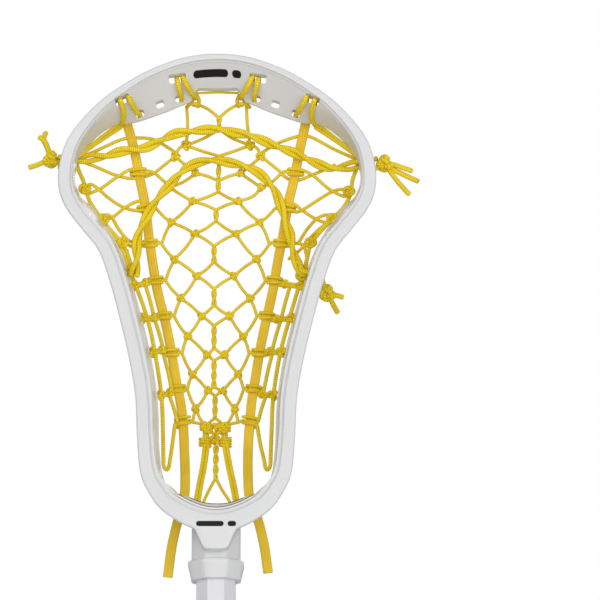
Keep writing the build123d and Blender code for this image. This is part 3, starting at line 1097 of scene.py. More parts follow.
@dataclass
class BallStop:
    """Foam pad round the inside of the throat, with painted shadow lines along its back and front edges."""

    shape: HeadShape
    finishes: Finishes
    reach: float = 38.0
    thickness: float = 1.5
    gap: float = 0.15
    front: float = 0.14
    back: float = 0.88
    wall_start_inset: float = 2.85
    wall_start_depth: float = 4.2
    wall_end_inset: float = 0.9
    wall_end_depth: float = 2.2

    def _indices(self, reach: float) -> list[tuple[int, int]]:
        """Rings that the pad covers, from the left end to the right, each with its side."""
        last = len(self.shape.rings) - 1
        covered = [i for i in range(len(self.shape.rings)) if self.shape.rings[i].height < reach]
        return [(i, -1) for i in covered] + [(i, 1) for i in reversed(covered) if i != last]

    def _point(self, index: int, side: int, end: float, lift: float) -> Vector:
        """Point over the inner wall: a share of the way back, and a lift off it."""
        ring = self.shape.rings[index]
        start = (ring.rim_width + self.wall_start_inset, ring.rim_depth + self.wall_start_depth)
        run = (ring.back_inset - self.wall_end_inset - start[0],
               ring.back_depth - self.wall_end_depth - start[1])
        size = math.hypot(*run)
        inset = start[0] + end * run[0] + lift * run[1] / size
        return self.shape.at(index, inset, start[1] + end * run[1] - lift * run[0] / size, side)

    def build(self) -> None:
        """Build the pad and its two edge lines."""
        made = bmesh.new()
        top, low = self.gap + self.thickness, self.gap
        outline = [(self.front, low), (self.front - 0.006, low + 0.5), (self.front - 0.004, top - 0.6),
                   (self.front + 0.008, top - 0.15), (self.front + 0.03, top), (self.back - 0.03, top),
                   (self.back - 0.008, top - 0.15), (self.back, top - 0.6), (self.back, low)]
        places = self._indices(self.reach)
        rows = []
        for order, (index, side) in enumerate(places):
            taper = min(1.0, 0.35 + min(order, len(places) - 1 - order) * 0.3)
            rows.append([made.verts.new(self._point(index, side, e, low + (n - low) * taper)) for e,
                         n in outline])
        join_rows(made, rows)
        bmesh.ops.recalc_face_normals(made, faces=made.faces[:])
        mesh = bpy.data.meshes.new("ball_stop_pad")
        made.to_mesh(mesh)
        made.free()
        pad = dress_mesh("ball_stop_pad", mesh, self.finishes.foam, stands_for=["ball_stop"])
        # painted shadow: a near-black line along the pad's back edge and a brown one along its front edge
        self._line("pad_back_shadow_line", self.reach - 2.5, self.back - 0.01, top - 0.1, 0.5, self.finishes.skin)
        self._line("pad_front_shadow_line", self.reach, self.front + 0.004, top - 0.1, 0.24,
                   self.finishes.front_shadow)

    def _line(self, name: str, reach: float, end: float, lift: float, radius: float, paint: Paint) -> None:
        """Thin line along one of the pad's edges.

        Args:
            name: the piece's name.
            reach: height at which the line ends on both sides.
            end: share of the way back.
            lift: lift off the wall, in millimetres.
            radius: the line's radius, in millimetres.
            paint: the finish.
        """
        maker = MeshMaker(name)
        maker.tube([self._point(i, side, end, lift) for i, side in self._indices(reach)], radius, 8)
        maker.build(paint)


# ------------------------------------------------------------------ pocket


@dataclass(frozen=True)
class PocketRow:
    """Where the thong and the side string lie at one height."""

    height: float
    thong_x: float
    thong_depth: float
    string_x: float
    string_depth: float


class Pocket:
    """The surface that the net hangs in."""

    rows = (
        PocketRow(278.0, 56.0, -3.0, 88.0, -6.0),
        PocketRow(262.0, 50.5, 0.5, 85.0, -5.0),
        PocketRow(251.0, 47.5, 4.0, 83.5, -4.0),
        PocketRow(240.0, 45.0, 8.0, 80.4, -2.3),
        PocketRow(227.0, 42.0, 12.0, 75.3, -0.3),
        PocketRow(214.0, 39.8, 16.0, 63.8, 2.2),
        PocketRow(200.0, 37.6, 20.0, 55.0, 5.2),
        PocketRow(184.0, 35.0, 24.0, 49.2, 7.8),
        PocketRow(165.0, 30.5, 28.5, 43.4, 9.9),
        PocketRow(143.0, 26.0, 33.0, 37.2, 11.8),
        PocketRow(122.0, 22.3, 35.6, 33.6, 13.4),
        PocketRow(102.0, 19.5, 36.5, 31.6, 14.6),
        PocketRow(84.0, 18.6, 35.2, 31.0, 15.6),
        PocketRow(68.0, 18.2, 31.0, 29.6, 16.4),
        PocketRow(58.0, 18.4, 27.0, 28.0, 17.0),
        PocketRow(49.0, 19.6, 23.0, 26.0, 17.5),
        PocketRow(40.0, 22.8, 20.4, 27.0, 18.5),
        PocketRow(25.0, 26.3, 19.0, 30.0, 18.5),
        PocketRow(7.0, 28.6, 18.0, 32.0, 18.0),
    )
    sag = 2.6

    def row(self, height: float) -> PocketRow:
        """Row at any height, between the given ones."""
        if height >= self.rows[0].height:
            return self.rows[0]
        for high, low in zip(self.rows, self.rows[1:]):
            if height >= low.height:
                t = (high.height - height) / (high.height - low.height)
                return PocketRow(height, mix(high.thong_x, low.thong_x, t),
                                 mix(high.thong_depth, low.thong_depth, t),
                                 mix(high.string_x, low.string_x, t),
                                 mix(high.string_depth, low.string_depth, t))
        return self.rows[-1]

    def depth(self, x: float, height: float) -> float:
        """Depth of the net's surface at a place."""
        row = self.row(height)
        out = abs(x)
        if out <= row.thong_x:
            return row.thong_depth + self.sag * (1 - (out / row.thong_x) ** 2)
        share = min(1.0, (out - row.thong_x) / (row.string_x - row.thong_x))
        return mix(row.thong_depth, row.string_depth, share)

    def at(self, x: float, height: float, lift: float = 0.0) -> Vector:
        """Point on the net's surface, lifted towards the ball side."""
        return spot(x, self.depth(x, height) - lift, height)

    def line(self, route: Route, step: float = 1.1) -> list[Vector]:
        """Smooth line through (x, height) or (x, height, lift) points on the surface."""
        return smooth_line([self.at(*point) for point in route], step)


class KnotKind(Enum):
    """Sizes of knot in the stringing: half width and how far it stands up, in cord radii."""

    SMALL = (3.0, 1.15)
    LARGE = (3.5, 1.3)


def knot_line(centre: Vector, radius: float, kind: KnotKind, turn: float, step: int = 54) -> list[Vector]:
    """Closed line of an overhand knot pulled tight.

    Args:
        centre: the knot's middle.
        radius: the cord's radius, in millimetres.
        kind: the knot's size.
        turn: how far the knot is turned in the net's plane, in degrees.
        step: points round the knot.

    Returns:
        The knot's centreline.
    """
    spread, lift = kind.value
    line = []
    angle = math.radians(turn)
    for k in range(step):
        t = math.tau * k / step
        u = (math.sin(t) + 2 * math.sin(2 * t)) / 3 * (spread - 1.0) * radius
        v = (math.cos(t) - 2 * math.cos(2 * t)) / 3 * (spread - 1.0) * radius * 1.12
        w = -math.sin(3 * t) * lift * radius
        x = u * math.cos(angle) - v * math.sin(angle)
        z = u * math.sin(angle) + v * math.cos(angle)
        line.append(centre + Vector((x, w, z)) * MM)
    return line


def twisted(
    line: Sequence[Vector], offset: float, pitch: float, phase: float = 0.0, strands: int = 2,
    splay: float = 0.0
) -> list[list[Vector]]:
    """Lines of cords twisted round each other along a line.

    Args:
        line: the middle line.
        offset: distance of each cord from the middle, in millimetres.
        pitch: length of a full turn, in millimetres.
        phase: turn at the start, in degrees.
        strands: number of cords.
        splay: how much further apart the cords are at the ends, in millimetres.

    Returns:
        One line for each cord.
    """
    pairs = carried_frames(line)
    made: list[list[Vector]] = [[] for _ in range(strands)]
    whole = sum((b - a).length for a, b in zip(line, line[1:])) / MM
    travelled = 0.0
    for i, (point, (side, up)) in enumerate(zip(line, pairs)):
        travelled += (point - line[max(0, i - 1)]).length / MM
        for s in range(strands):
            angle = math.tau * (travelled / pitch + s / strands) + math.radians(phase)
            near_end = max(0.0, 1.0 - min(travelled, whole - travelled) / 26.0)
            reach = (offset + splay * near_end ** 1.5) * MM
            made[s].append(point + (side * math.cos(angle) + up * math.sin(angle)) * reach)
    return made


@dataclass
class Thongs:
    """The two flat tapes that run down the pocket and out behind the throat."""

    pocket: Pocket
    finishes: Finishes
    width: float = 5.6
    thickness: float = 1.7
    left: tuple[tuple[float, float], ...] = (
        (-54.4, 275.0), (-49.0, 256.0), (-45.5, 239.0), (-42.6, 225.0), (-40.8, 210.5), (-38.5, 194.0),
        (-35.4, 176.5),
        (-31.0, 159.5), (-27.4, 142.5), (-24.4, 125.0), (-22.0, 113.0), (-20.4, 101.5), (-19.4, 84.0),
        (-18.7, 66.0),
        (-19.0, 54.0), (-22.2, 40.5), (-25.6, 25.0), (-28.0, 6.0),
    )
    right: tuple[tuple[float, float], ...] = (
        (52.0, 275.0), (47.6, 256.0), (44.1, 239.0), (40.6, 225.0), (37.8, 208.5), (34.8, 194.0),
        (31.8, 177.0),
        (27.9, 160.0), (24.3, 143.0), (21.5, 125.5), (19.6, 113.5), (18.5, 101.5), (17.5, 84.0), (17.6, 66.0),
        (18.6, 54.0), (23.4, 40.0), (27.0, 25.0), (29.4, 8.5),
    )

    def x_at(self, side: int, height: float) -> float:
        """Thong's x at a height, on the side given by its sign."""
        route = self.left if side < 0 else self.right
        for (xa, ha), (xb, hb) in zip(route, route[1:]):
            if height >= hb:
                return mix(xa, xb, (ha - height) / (ha - hb))
        return route[-1][0]

    def build(self) -> None:
        """Build both thongs."""
        for name, node, route in (("thong_left", "runner_left", self.left),
                                  ("thong_right", "runner_right", self.right)):
            maker = MeshMaker(name)
            line = smooth_line([spot(x, self.pocket.row(h).thong_depth, h) for x, h in route], 1.5)
            maker.band(line, [Vector((1, 0, 0))] * len(line), self.width, self.thickness)
            maker.build(self.finishes.tape, stands_for=[node])


@dataclass
class Net:
    """The knotted net: crosslace between the thongs, and lacing out to the side walls."""

    pocket: Pocket
    thongs: Thongs
    finishes: Finishes
    radius: float = 0.92
    axis: float = -1.6
    outer: tuple[tuple[float, float], ...] = (
        (25.9, 215.5), (23.9, 194.8), (20.1, 172.7), (16.3, 151.1), (13.4, 129.2), (11.3, 108.9),
    )
    inner: tuple[tuple[float, float], ...] = (
        (13.2, 227.4), (11.9, 209.3), (10.8, 185.6), (8.2, 162.9), (5.2, 140.6), (4.4, 119.7),
    )
    wraps: tuple[tuple[float, float], ...] = (
        (37.0, 242.9), (34.4, 222.9), (31.4, 203.3), (29.1, 182.4), (24.1, 162.3), (19.5, 141.2),
        (16.3, 120.2), (13.1, 100.8),
    )
    centre: tuple[tuple[float, float], ...] = (
        (238.9, 232.8), (222.8, 216.6), (202.6, 193.6), (178.3, 169.2), (157.3, 144.7), (137.2, 122.1),
        (116.7, 103.8),
    )
    column: tuple[float, ...] = (0.0, -1.3, -2.5, -2.5, -2.5, -2.5, -1.8)
    low_knots: tuple[tuple[float, float], ...] = ((5.4, 98.3), (5.4, 88.7))
    high_knots: tuple[tuple[float, float], ...] = ((18.6, 258.4), (25.0, 252.2), (13.0, 243.0), (26.6, 235.0))
    bow: float = 0.035
    made: MeshMaker = field(default_factory=lambda: MeshMaker("net"))

    def place(self, side: int, point: tuple[float, float]) -> tuple[float, float]:
        """Place on one side of the net's middle line, from its half-distance."""
        shift = self.axis if point[1] < 240 else 0.0
        return side * point[0] + shift, point[1]

    def strand(self, *route: tuple[float, ...], radius: float | None = None) -> None:
        """Lay one cord through places on the pocket."""
        self.made.tube(self.pocket.line(route), radius or self.radius, 9)

    def link(self, a: tuple[float, float], b: tuple[float, float], bow: float) -> None:
        """Cord between two places, bowed a little to one side."""
        run = (b[0] - a[0], b[1] - a[1])
        middle = ((a[0] + b[0]) / 2 - run[1] * bow, (a[1] + b[1]) / 2 + run[0] * bow)
        self.strand(a, middle, b)

    def knot(self, place: tuple[float, float], kind: KnotKind = KnotKind.SMALL, turn: float = 0.0,
             lift: float = 0.4) -> None:
        """Tie a knot at a place."""
        self.made.tube(knot_line(self.pocket.at(*place, lift), self.radius, kind, turn), self.radius, 9,
                       closed=True)

    def twist(self, x: float, top: float, bottom: float) -> None:
        """Two cords twisted round each other down the middle line."""
        line = self.pocket.line([(x, top), (x, (top + bottom) / 2), (x, bottom)], 0.7)
        pitch = 11.5
        for cord in twisted(line, self.radius * 0.82, pitch):
            self.made.tube(cord, self.radius, 9)

    def wrap(self, side: int, height: float, turns: float, reach: float = 0.0) -> None:
        """Wind the cord round a thong.

        Args:
            side: -1 for the left thong, 1 for the right.
            height: middle of the winding.
            turns: number of turns.
            reach: how much wider than the thong the winding is, towards the side wall.
        """
        middle = self.thongs.x_at(side, height)
        depth = self.pocket.row(height).thong_depth
        half_width = self.thongs.width / 2 + self.radius + 0.15
        half_depth = self.thongs.thickness / 2 + self.radius + 0.1
        rise = self.radius * 2.0
        line = []
        count = round(26 * turns)
        for k in range(count + 1):
            share = k / count
            angle = math.tau * turns * share + math.pi * 0.4
            flat = abs(math.cos(angle)) ** 0.7
            x = middle + side * (math.copysign(flat, math.cos(angle)) * (half_width + reach / 2) + reach / 2)
            line.append(spot(x, depth + math.sin(angle) * half_depth,
                             height + rise * turns * (0.5 - share) + 0.8 * math.sin(angle * 0.5)))
        self.made.tube(line, self.radius, 9)

    def coil(self, place: tuple[float, float], half_width: float, half_depth: float, turns: int) -> None:
        """Wind the cord round a bundle of cords that runs up and down.

        Args:
            place: middle of the winding.
            half_width: half its width, in millimetres.
            half_depth: half its depth, in millimetres.
            turns: number of turns.
        """
        centre = self.pocket.at(*place)
        rise = self.radius * 1.9
        line = []
        for k in range(26 * turns + 1):
            angle = math.tau * k / 26
            height = rise * (turns / 2 - k / 26)
            line.append(centre + Vector((half_width * math.cos(angle), half_depth * math.sin(angle), height))
                        * MM)
        self.made.tube(line, self.radius, 9)

    def cells(self) -> None:
        """The net's cells between the thongs."""
        for side in (-1, 1):
            outer = [self.place(side, p) for p in self.outer]
            inner = [self.place(side, p) for p in self.inner]
            wraps = [self.place(side, p) for p in self.wraps]
            for k, knot in enumerate(outer):
                self.link(wraps[k + 1], knot, self.bow * side)
                self.link(knot, wraps[k + 2], self.bow * side)
                self.link(knot, inner[k], self.bow * side)
                if k + 1 < len(inner):
                    self.link(knot, inner[k + 1], -self.bow * side)
                self.knot(knot, turn=20.0 * side + 35.0 * k)
            for k, knot in enumerate(inner):
                self.link(knot, (self.column[k], self.centre[k][1]), self.bow * side)
                self.link(knot, (self.column[k + 1], self.centre[k + 1][0]), -self.bow * side)
                self.knot(knot, turn=50.0 * side - 25.0 * k)
        for x, (top, bottom) in zip(self.column, self.centre):
            self.twist(x, top, bottom)

    def foot(self) -> None:
        """The gathered knots at the pocket's foot and the cords from them to the throat."""
        for side in (-1, 1):
            upper, lower = (self.place(side, p) for p in self.low_knots)
            last_outer = self.place(side, self.outer[-1])
            last_wrap = self.place(side, self.wraps[-1])
            self.link(last_outer, upper, 0.05 * side)
            self.link(last_wrap, upper, -0.08 * side)
            self.link((self.column[-1], self.centre[-1][1]), upper, 0.05 * side)
            for step in (-1.0, 1.0):
                self.strand((upper[0] + step, upper[1]), (lower[0] + step, lower[1]))
            self.knot(upper, KnotKind.LARGE, 25.0 * side, 0.8)
            self.knot((upper[0] - 1.0 * side, upper[1] - 2.6), KnotKind.SMALL, 70.0, 1.4)
            self.coil((lower[0] + 0.4 * side, lower[1] + 0.4), 3.0, 2.2, 3)
            self.coil((upper[0] - 0.2 * side, upper[1] - 0.6), 3.1, 2.3, 2)
            self.strand((upper[0] - 3.0 * side, upper[1] - 0.8, 1.4), (upper[0], upper[1] + 1.8, 2.6),
                        (upper[0] + 3.2 * side, upper[1] - 1.0, 1.4))
            self.strand((upper[0] - 3.4 * side, upper[1] - 3.0, 0.9), (upper[0] - 4.4 * side, 93.6, 1.2),
                        (lower[0] - 2.6 * side, lower[1] + 1.6, 1.2))
        middle = self.axis + 0.5
        self.knot((middle, 98.4), KnotKind.SMALL, 10.0, 0.9)
        self.knot((middle, 89.6), KnotKind.SMALL, 60.0, 1.2)
        self.strand((middle, 97.0), (middle, 89.0))
        line = self.pocket.line([(middle, 87.0), (middle, 77.0), (middle, 67.0)], 0.7)
        for cord in twisted(line, self.radius * 0.9, 13.0, 30.0):
            self.made.tube(cord, self.radius, 9)
        for side in (-1, 1):
            end = (side * 8.4 - 0.2, 49.0)
            self.strand((middle, 67.0), (middle + side * 3.4, 60.0), end, (end[0] + side * 1.5, 40.0, -1.0))

    def head_end(self) -> None:
        """The net's first cords, from the scoop down past the shooting strings."""
        top = (0.5, 274.1)
        line = self.pocket.line([top, (0.5, 271.0), (0.5, 267.6)], 0.7)
        for cord in twisted(line, self.radius * 0.8, 10.0, 60.0):
            self.made.tube(cord, self.radius, 9)
        for side in (-1, 1):
            first, second, third, fourth = (self.place(side, p) for p in self.high_knots)
            wrap = self.place(side, self.wraps[0])
            self.link(top, (side * 12.6, 282.4), 0.05 * side)
            self.strand((side * 17.4 - 1.0, 281.0), (side * 17.4 - 0.4, 270.0), first)
            self.strand((0.5, 267.6), (side * 8.0, 262.6), first)
            self.strand(first, (side * 9.0, 255.2), (0.5, 252.6))
            self.strand(first, (side * 22.4, 256.8, 0.8), second)
            self.strand(second, (side * 31.0, 247.6), wrap)
            self.strand(second, (side * 19.5, 248.0, -0.6), third)
            self.strand(third, (side * 6.6, 241.6), (0.0, self.centre[0][0]))
            self.strand(wrap, (side * 31.0, 238.0, -0.6), fourth)
            self.strand(fourth, (side * 20.5, 230.4), self.place(side, self.inner[0]))
            self.strand(third, (side * 20.0, 238.6, -0.8), fourth)
            for k, knot in enumerate((first, second, third, fourth)):
                self.knot(knot, KnotKind.LARGE if k < 2 else KnotKind.SMALL, 30.0 * k * side)
        line = self.pocket.line([(0.5, 252.6), (0.3, 246.0, -0.8), (0.0, self.centre[0][0])], 0.7)
        for cord in twisted(line, self.radius * 0.8, 12.0):
            self.made.tube(cord, self.radius, 9)
        self.made.tube(smooth_line([spot(-12.6, -7.4, 286.6), spot(-1.0, -7.4, 287.2),
                                    spot(11.8, -7.4, 286.8)]), 0.75, 8)

    def windings(self) -> None:
        """Windings of the cord round the thongs."""
        for side in (-1, 1):
            for k, (_, height) in enumerate(self.wraps):
                turns = 3.1 if k == len(self.wraps) - 1 else 2.1
                self.wrap(side, height, turns, 0.6)
                inner_end = self.place(side, self.wraps[k])
                edge = self.thongs.x_at(side, height) - side * (self.thongs.width / 2 + 0.4)
                self.strand((edge, height - 0.6, 0.8), (mix(edge, inner_end[0], 0.5), height + 0.4, 0.5),
                            inner_end)
                self.strand((edge, height + 1.2, -0.6), (mix(edge, inner_end[0], 0.6), height + 0.9, -0.2),
                            inner_end)

    def build(self) -> None:
        """Build the whole centre of the net as one piece."""
        self.cells()
        self.foot()
        self.head_end()
        self.windings()
        self.made.build(self.finishes.net, stands_for=["crosslace"])


@dataclass
class SideLacing:
    """Cord between a thong and the side wall, with the string that follows the wall."""

    side: int
    pocket: Pocket
    thongs: Thongs
    finishes: Finishes
    string: tuple[tuple[float, ...], ...]
    knots: tuple[tuple[float, float], ...]
    fans: tuple[tuple[tuple[float, ...], ...], ...]
    radius: float = 0.98
    string_radius: float = 1.22
    rungs: tuple[tuple[float, float, float], ...] = (
        (49.0, 174.6, 178.4), (43.4, 155.8, 158.2), (37.2, 136.2, 139.6), (32.4, 111.4, 115.0),
    )
    steps: tuple[tuple[float, float, float, float], ...] = (
        (42.4, 178.4, 36.6, 157.6), (36.6, 157.6, 31.0, 138.2), (31.4, 137.6, 26.4, 115.6),
        (27.8, 113.0, 23.4, 99.4),
    )

    def build(self) -> None:
        """Build the string and the lacing of this side."""
        word = "left" if self.side < 0 else "right"
        self._string(word)
        maker = MeshMaker(f"side_net_{word}")
        for route in self.fans:
            maker.tube(self.pocket.line(route), self.radius, 9)
        for k, (x, height) in enumerate(self.knots):
            centre = self.pocket.at(self.side * x, height, 0.9)
            maker.tube(knot_line(centre, self.radius, KnotKind.LARGE, 40.0 * k), self.radius, 9, closed=True)
            ring = [centre + Vector((2.9 * math.cos(a), -0.3 + 0.8 * math.sin(2 * a), 2.4 * math.sin(a))) * MM
                    for a in (math.tau * i / 26 for i in range(26))]
            maker.tube(ring, self.radius, 9, closed=True)
        for (x, low, high), (top_x, top, foot_x, foot) in zip(self.rungs, self.steps):
            self._rung(maker, x, low, high)
            bend = (self.side * (mix(top_x, foot_x, 0.45) - 0.6), mix(top, foot, 0.5))
            maker.tube(self.pocket.line([(self.side * top_x, top, 0.6), bend,
                                         (self.side * foot_x, foot, 0.6)]), self.radius * 1.14, 9)
        maker.build(self.finishes.net, stands_for=[f"side_lacing_{word}"])

    def _string(self, word: str) -> None:
        """String along the side wall, down to its V at the throat."""
        maker = MeshMaker(f"wall_string_{word}")
        maker.tube(self.pocket.line(self.string), self.string_radius, 10)
        foot = self.string[-1]
        wrap_x = self.thongs.x_at(self.side, 96.0) + self.side * 4.6
        hook = [(foot[0] + self.side * step, height) for step, height in
                ((0.1, 75.0), (0.0, 71.4), (-0.8, 69.0), (-2.0, 68.6), (-3.0, 70.6), (-3.5, 74.0))]
        route = [*hook, (mix(wrap_x, foot[0] - self.side * 3.0, 0.45), 84.0), (wrap_x, 97.0, 0.4)]
        maker.tube(self.pocket.line(route, 0.7), 1.14, 10)
        maker.build(self.finishes.net, stands_for=[f"sidewall_string_{word}"])

    def _rung(self, maker: MeshMaker, x: float, low: float, high: float) -> None:
        """Doubled cord from the wall's string to the thong's winding, knotted at both ends."""
        s = self.side
        thong = abs(self.thongs.x_at(s, high)) + 3.6
        for step in (-0.9, 0.9):
            route = [(s * x, low + step, 0.3),
                     (s * mix(x, thong, 0.5), mix(low, high, 0.6) + step * 0.8, 1.2),
                     (s * thong, high + 1.6 + step, 0.2)]
            maker.tube(self.pocket.line(route), self.radius, 9)
        maker.tube(knot_line(self.pocket.at(s * (x - 0.4), low + 0.6, 0.5), self.radius, KnotKind.LARGE,
                             20.0 * s), self.radius, 9, closed=True)
        maker.tube(knot_line(self.pocket.at(s * mix(x, thong, 0.72), high, 1.0), self.radius, KnotKind.SMALL,
                             70.0), self.radius, 9, closed=True)


@dataclass
class ShootingStrings:
    """The two pairs of thick cords twisted across the head, and their knots outside it."""

    pocket: Pocket
    finishes: Finishes
    radius: float = 1.52
    lift: float = 3.4
    upper: tuple[tuple[float, ...], ...] = (
        (-92.0, -6.2, 245.4), (-84.0, -6.2, 245.6), (-74.0, -5.0, 248.3), (-65.0, -3.4, 249.8),
        (-56.5, -2.6, 252.8),
        (-42.5, -1.8, 255.2), (-33.5, -3.0, 259.2), (-25.0, -4.4, 263.0), (-16.0, -5.0, 264.2),
        (0.5, -5.6, 265.4),
        (10.0, -5.0, 263.4), (18.6, -4.2, 262.0), (33.0, -2.4, 256.4), (42.0, -1.2, 253.4),
        (56.3, -0.6, 246.8),
        (65.0, -1.6, 243.2), (74.0, -4.0, 243.2), (84.0, -6.2, 244.6), (92.0, -6.2, 244.6),
    )
    lower: tuple[tuple[float, float], ...] = (
        (-48.4, 180.0), (-46.6, 189.7), (-47.0, 200.0), (-45.4, 208.0), (-42.4, 215.6), (-38.4, 223.0),
        (-33.6, 229.6),
        (-28.0, 235.6), (-23.0, 241.2), (-17.4, 245.6), (-10.5, 248.4), (-1.8, 249.4), (7.0, 248.0),
        (15.6, 246.0),
        (23.2, 242.6), (29.0, 237.2), (33.7, 231.0), (36.2, 224.3), (39.0, 215.8), (41.8, 207.0),
        (43.4, 198.0),
        (46.0, 188.0), (49.0, 181.6),
    )

    def build(self) -> None:
        """Build both pairs and the outside knots."""
        line = smooth_line([spot(*p) for p in self.upper], 1.0)
        self._pair("upper_shooting_string", line, ["upper_shooter_front", "upper_shooter_back"], 5.5, 1.6)
        places = [spot(x, self._lower_depth(x, h), h) for x, h in self.lower]
        line = smooth_line(places + [spot(55.0, 1.8, 181.2), spot(59.0, 1.8, 180.4)], 1.0)
        self._pair("lower_shooting_string", line, ["lower_shooter_front", "lower_shooter_back"], 5.0, 0.5)
        self._knot("knot_upper_left", "upper_knot_left", (-96.4, -6.4, 247.0), (
            ((-99.0, -8.0, 254.0), (-101.0, -8.0, 259.0), (-99.6, -8.0, 262.8)),
            ((-98.4, -8.6, 253.0), (-100.6, -9.4, 257.6), (-103.4, -9.0, 259.6)),
            ((-101.0, -6.0, 245.4), (-105.0, -5.4, 243.8), (-109.2, -5.0, 242.6)),
        ))
        self._knot("knot_upper_right", "upper_knot_right", (96.6, -6.4, 244.6), (
            ((101.6, -7.6, 243.6), (107.0, -8.4, 241.4), (112.4, -8.0, 239.6)),
            ((102.0, -5.6, 241.0), (109.0, -4.6, 237.6), (116.0, -5.0, 234.2)),
            ((101.0, -4.6, 238.6), (105.6, -3.4, 232.8), (110.8, -3.0, 227.0)),
        ))
        self._knot("knot_lower_right", "lower_knot_right", (63.4, 3.0, 169.6), (
            ((61.4, 2.4, 173.6), (60.4, 1.8, 177.4), (58.8, 1.8, 180.4)),
            ((67.0, 2.4, 168.2), (69.2, 2.0, 167.8), (72.4, 2.0, 166.8)),
            ((65.6, 4.4, 165.4), (67.4, 5.0, 162.0), (69.4, 5.0, 158.4)),
        ))

    def _lower_depth(self, x: float, height: float) -> float:
        """Depth of the lower string: in front of the net, less so near the walls."""
        near_wall = min(1.0, max(0.0, (abs(x) - 40.0) / 9.0)) * min(1.0, max(0.0, (214.0 - height) / 30.0))
        return mix(self.pocket.depth(x, height) - self.lift, 2.4, near_wall)

    def _pair(self, name: str, line: Sequence[Vector], nodes: Sequence[str], turns: float,
              splay: float) -> None:
        """Twist two cords along a line, one above the other at both ends."""
        maker = MeshMaker(name)
        pitch = sum((b - a).length for a, b in zip(line, line[1:])) / MM / turns
        for cord in twisted(line, self.radius * 0.98, pitch, 90.0, splay=splay):
            maker.tube(cord, self.radius, 12)
        maker.build(self.finishes.shooter, stands_for=nodes)

    def _knot(self, name: str, node: str, centre: tuple[float, float, float], tails) -> None:
        """Stopper knot outside the head with its cut ends."""
        maker = MeshMaker(name)
        middle = spot(*centre)
        maker.tube(knot_line(middle, self.radius, KnotKind.LARGE, 65.0), self.radius, 12, closed=True)
        tilted = [middle + Vector((p.y - middle.y, p.x - middle.x, p.z - middle.z)) * 0.9
                  for p in knot_line(middle, self.radius, KnotKind.LARGE, 20.0)]
        maker.tube(tilted, self.radius, 12, closed=True)
        for tail in tails:
            maker.tube(smooth_line([middle, *(spot(*p) for p in tail)], 0.9), self.radius, 12)
        maker.build(self.finishes.shooter, stands_for=[node])


@dataclass
class ScoopLaces:
    """Short laces through the scoop's slots, and the ring knots that hold the net's top."""

    shape: HeadShape
    pocket: Pocket
    finishes: Finishes
    radius: float = 1.5

    def build(self) -> None:
        """Build the four laces."""
        for side, word in ((-1, "left"), (1, "right")):
            self._inner(side, word)
            self._outer(side, word)

    def _over(self, x: float, height: float, lift: float = 1.5) -> Vector:
        """Point just off the scoop's inner wall."""
        return self.shape.on_wall(x, height, lift)

    def _through(self, x: float, height: float, depth: float) -> Vector:
        """Point inside or behind a slot."""
        return spot(x, depth, height)

    def _inner(self, side: int, word: str) -> None:
        """Lace of the slot nearest the middle, ending in a ring knot at the notch."""
        maker = MeshMaker(f"lace_inner_{word}")
        s = side
        stitch = [self._through(s * 23.6, 291.6, -12.0), self._through(s * 23.6, 291.2, -21.0),
                  self._over(s * 23.2, 288.6),
                  self._over(s * 21.6, 283.6), self._through(s * 21.0, 281.6, -8.0),
                  self._through(s * 21.2, 282.0, -2.0)]
        maker.tube(smooth_line(stitch, 0.7), self.radius, 11)
        hitch = [self._through(s * 20.0, 292.8, -12.0), self._through(s * 20.0, 292.2, -21.6),
                 self._over(s * 18.6, 289.4),
                 self._over(s * 14.8, 284.8, 1.2), spot(s * 13.2, -4.9, 284.4)]
        maker.tube(smooth_line(hitch, 0.7), self.radius, 11)
        centre = (s * 13.2, -3.6, 283.0)
        ring = [spot(centre[0] + 2.1 * math.cos(a), centre[1] + 0.5 * math.sin(2 * a),
                     centre[2] + 2.5 * math.sin(a))
                for a in (math.tau * k / 28 for k in range(28))]
        maker.tube(ring, 1.15, 11, closed=True)
        bar = [spot(s * 18.4, -1.0, 280.0), spot(s * 16.2, -4.4, 281.0), spot(s * 13.4, -5.6, 280.8),
               spot(s * 11.6, -2.4, 280.0)]
        maker.tube(smooth_line(bar, 0.7), 1.1, 11)
        maker.tube(smooth_line([spot(s * 16.8, -0.6, 285.6), spot(s * 12.4, -5.0, 286.0),
                                spot(s * 10.9, -2.6, 283.4)], 0.7), 1.1, 11)
        maker.build(self.finishes.shooter, stands_for=[f"scoop_lace_inner_{word}"])

    def _outer(self, side: int, word: str) -> None:
        """Laces of the slot above the thong, one of them running on to the side wall."""
        maker = MeshMaker(f"lace_outer_{word}")
        s = side
        stitch = [self._through(s * 51.4, 280.0, -14.0), self._through(s * 51.4, 279.6, -25.0),
                  self._over(s * 50.6, 277.4),
                  self._over(s * 47.0, 273.4), self._through(s * 45.4, 272.6, -12.0),
                  self._through(s * 45.2, 273.2, -4.0)]
        maker.tube(smooth_line(stitch, 0.7), self.radius, 11)
        hitch = [self._through(s * 56.2, 277.6, -14.0), self._through(s * 56.0, 276.8, -26.4),
                 self._over(s * 55.2, 274.0),
                 self._over(s * 55.4, 270.0, 1.4), spot(s * 57.0, -5.0, 267.8), spot(s * 60.0, -3.4, 266.2)]
        maker.tube(smooth_line(hitch, 0.7), self.radius, 11)
        for rise, drop in ((0.0, 0.0), (2.6, 1.6)):
            strand = [spot(s * (57.2 - rise * 0.3), -4.0, 269.4 - rise),
                      spot(s * 64.0, -5.4, 263.6 - rise * 0.9),
                      spot(s * 74.0, -6.2, 255.2 - rise * 0.5), spot(s * 83.4, -6.8, 247.4 - drop)]
            maker.tube(smooth_line(strand, 1.0), 1.05, 11)
        maker.tube(knot_line(spot(s * 57.6, -4.6, 269.0), 0.9, KnotKind.LARGE, 30.0), 0.9, 9, closed=True)
        maker.build(self.finishes.shooter, stands_for=[f"scoop_lace_outer_{word}"])


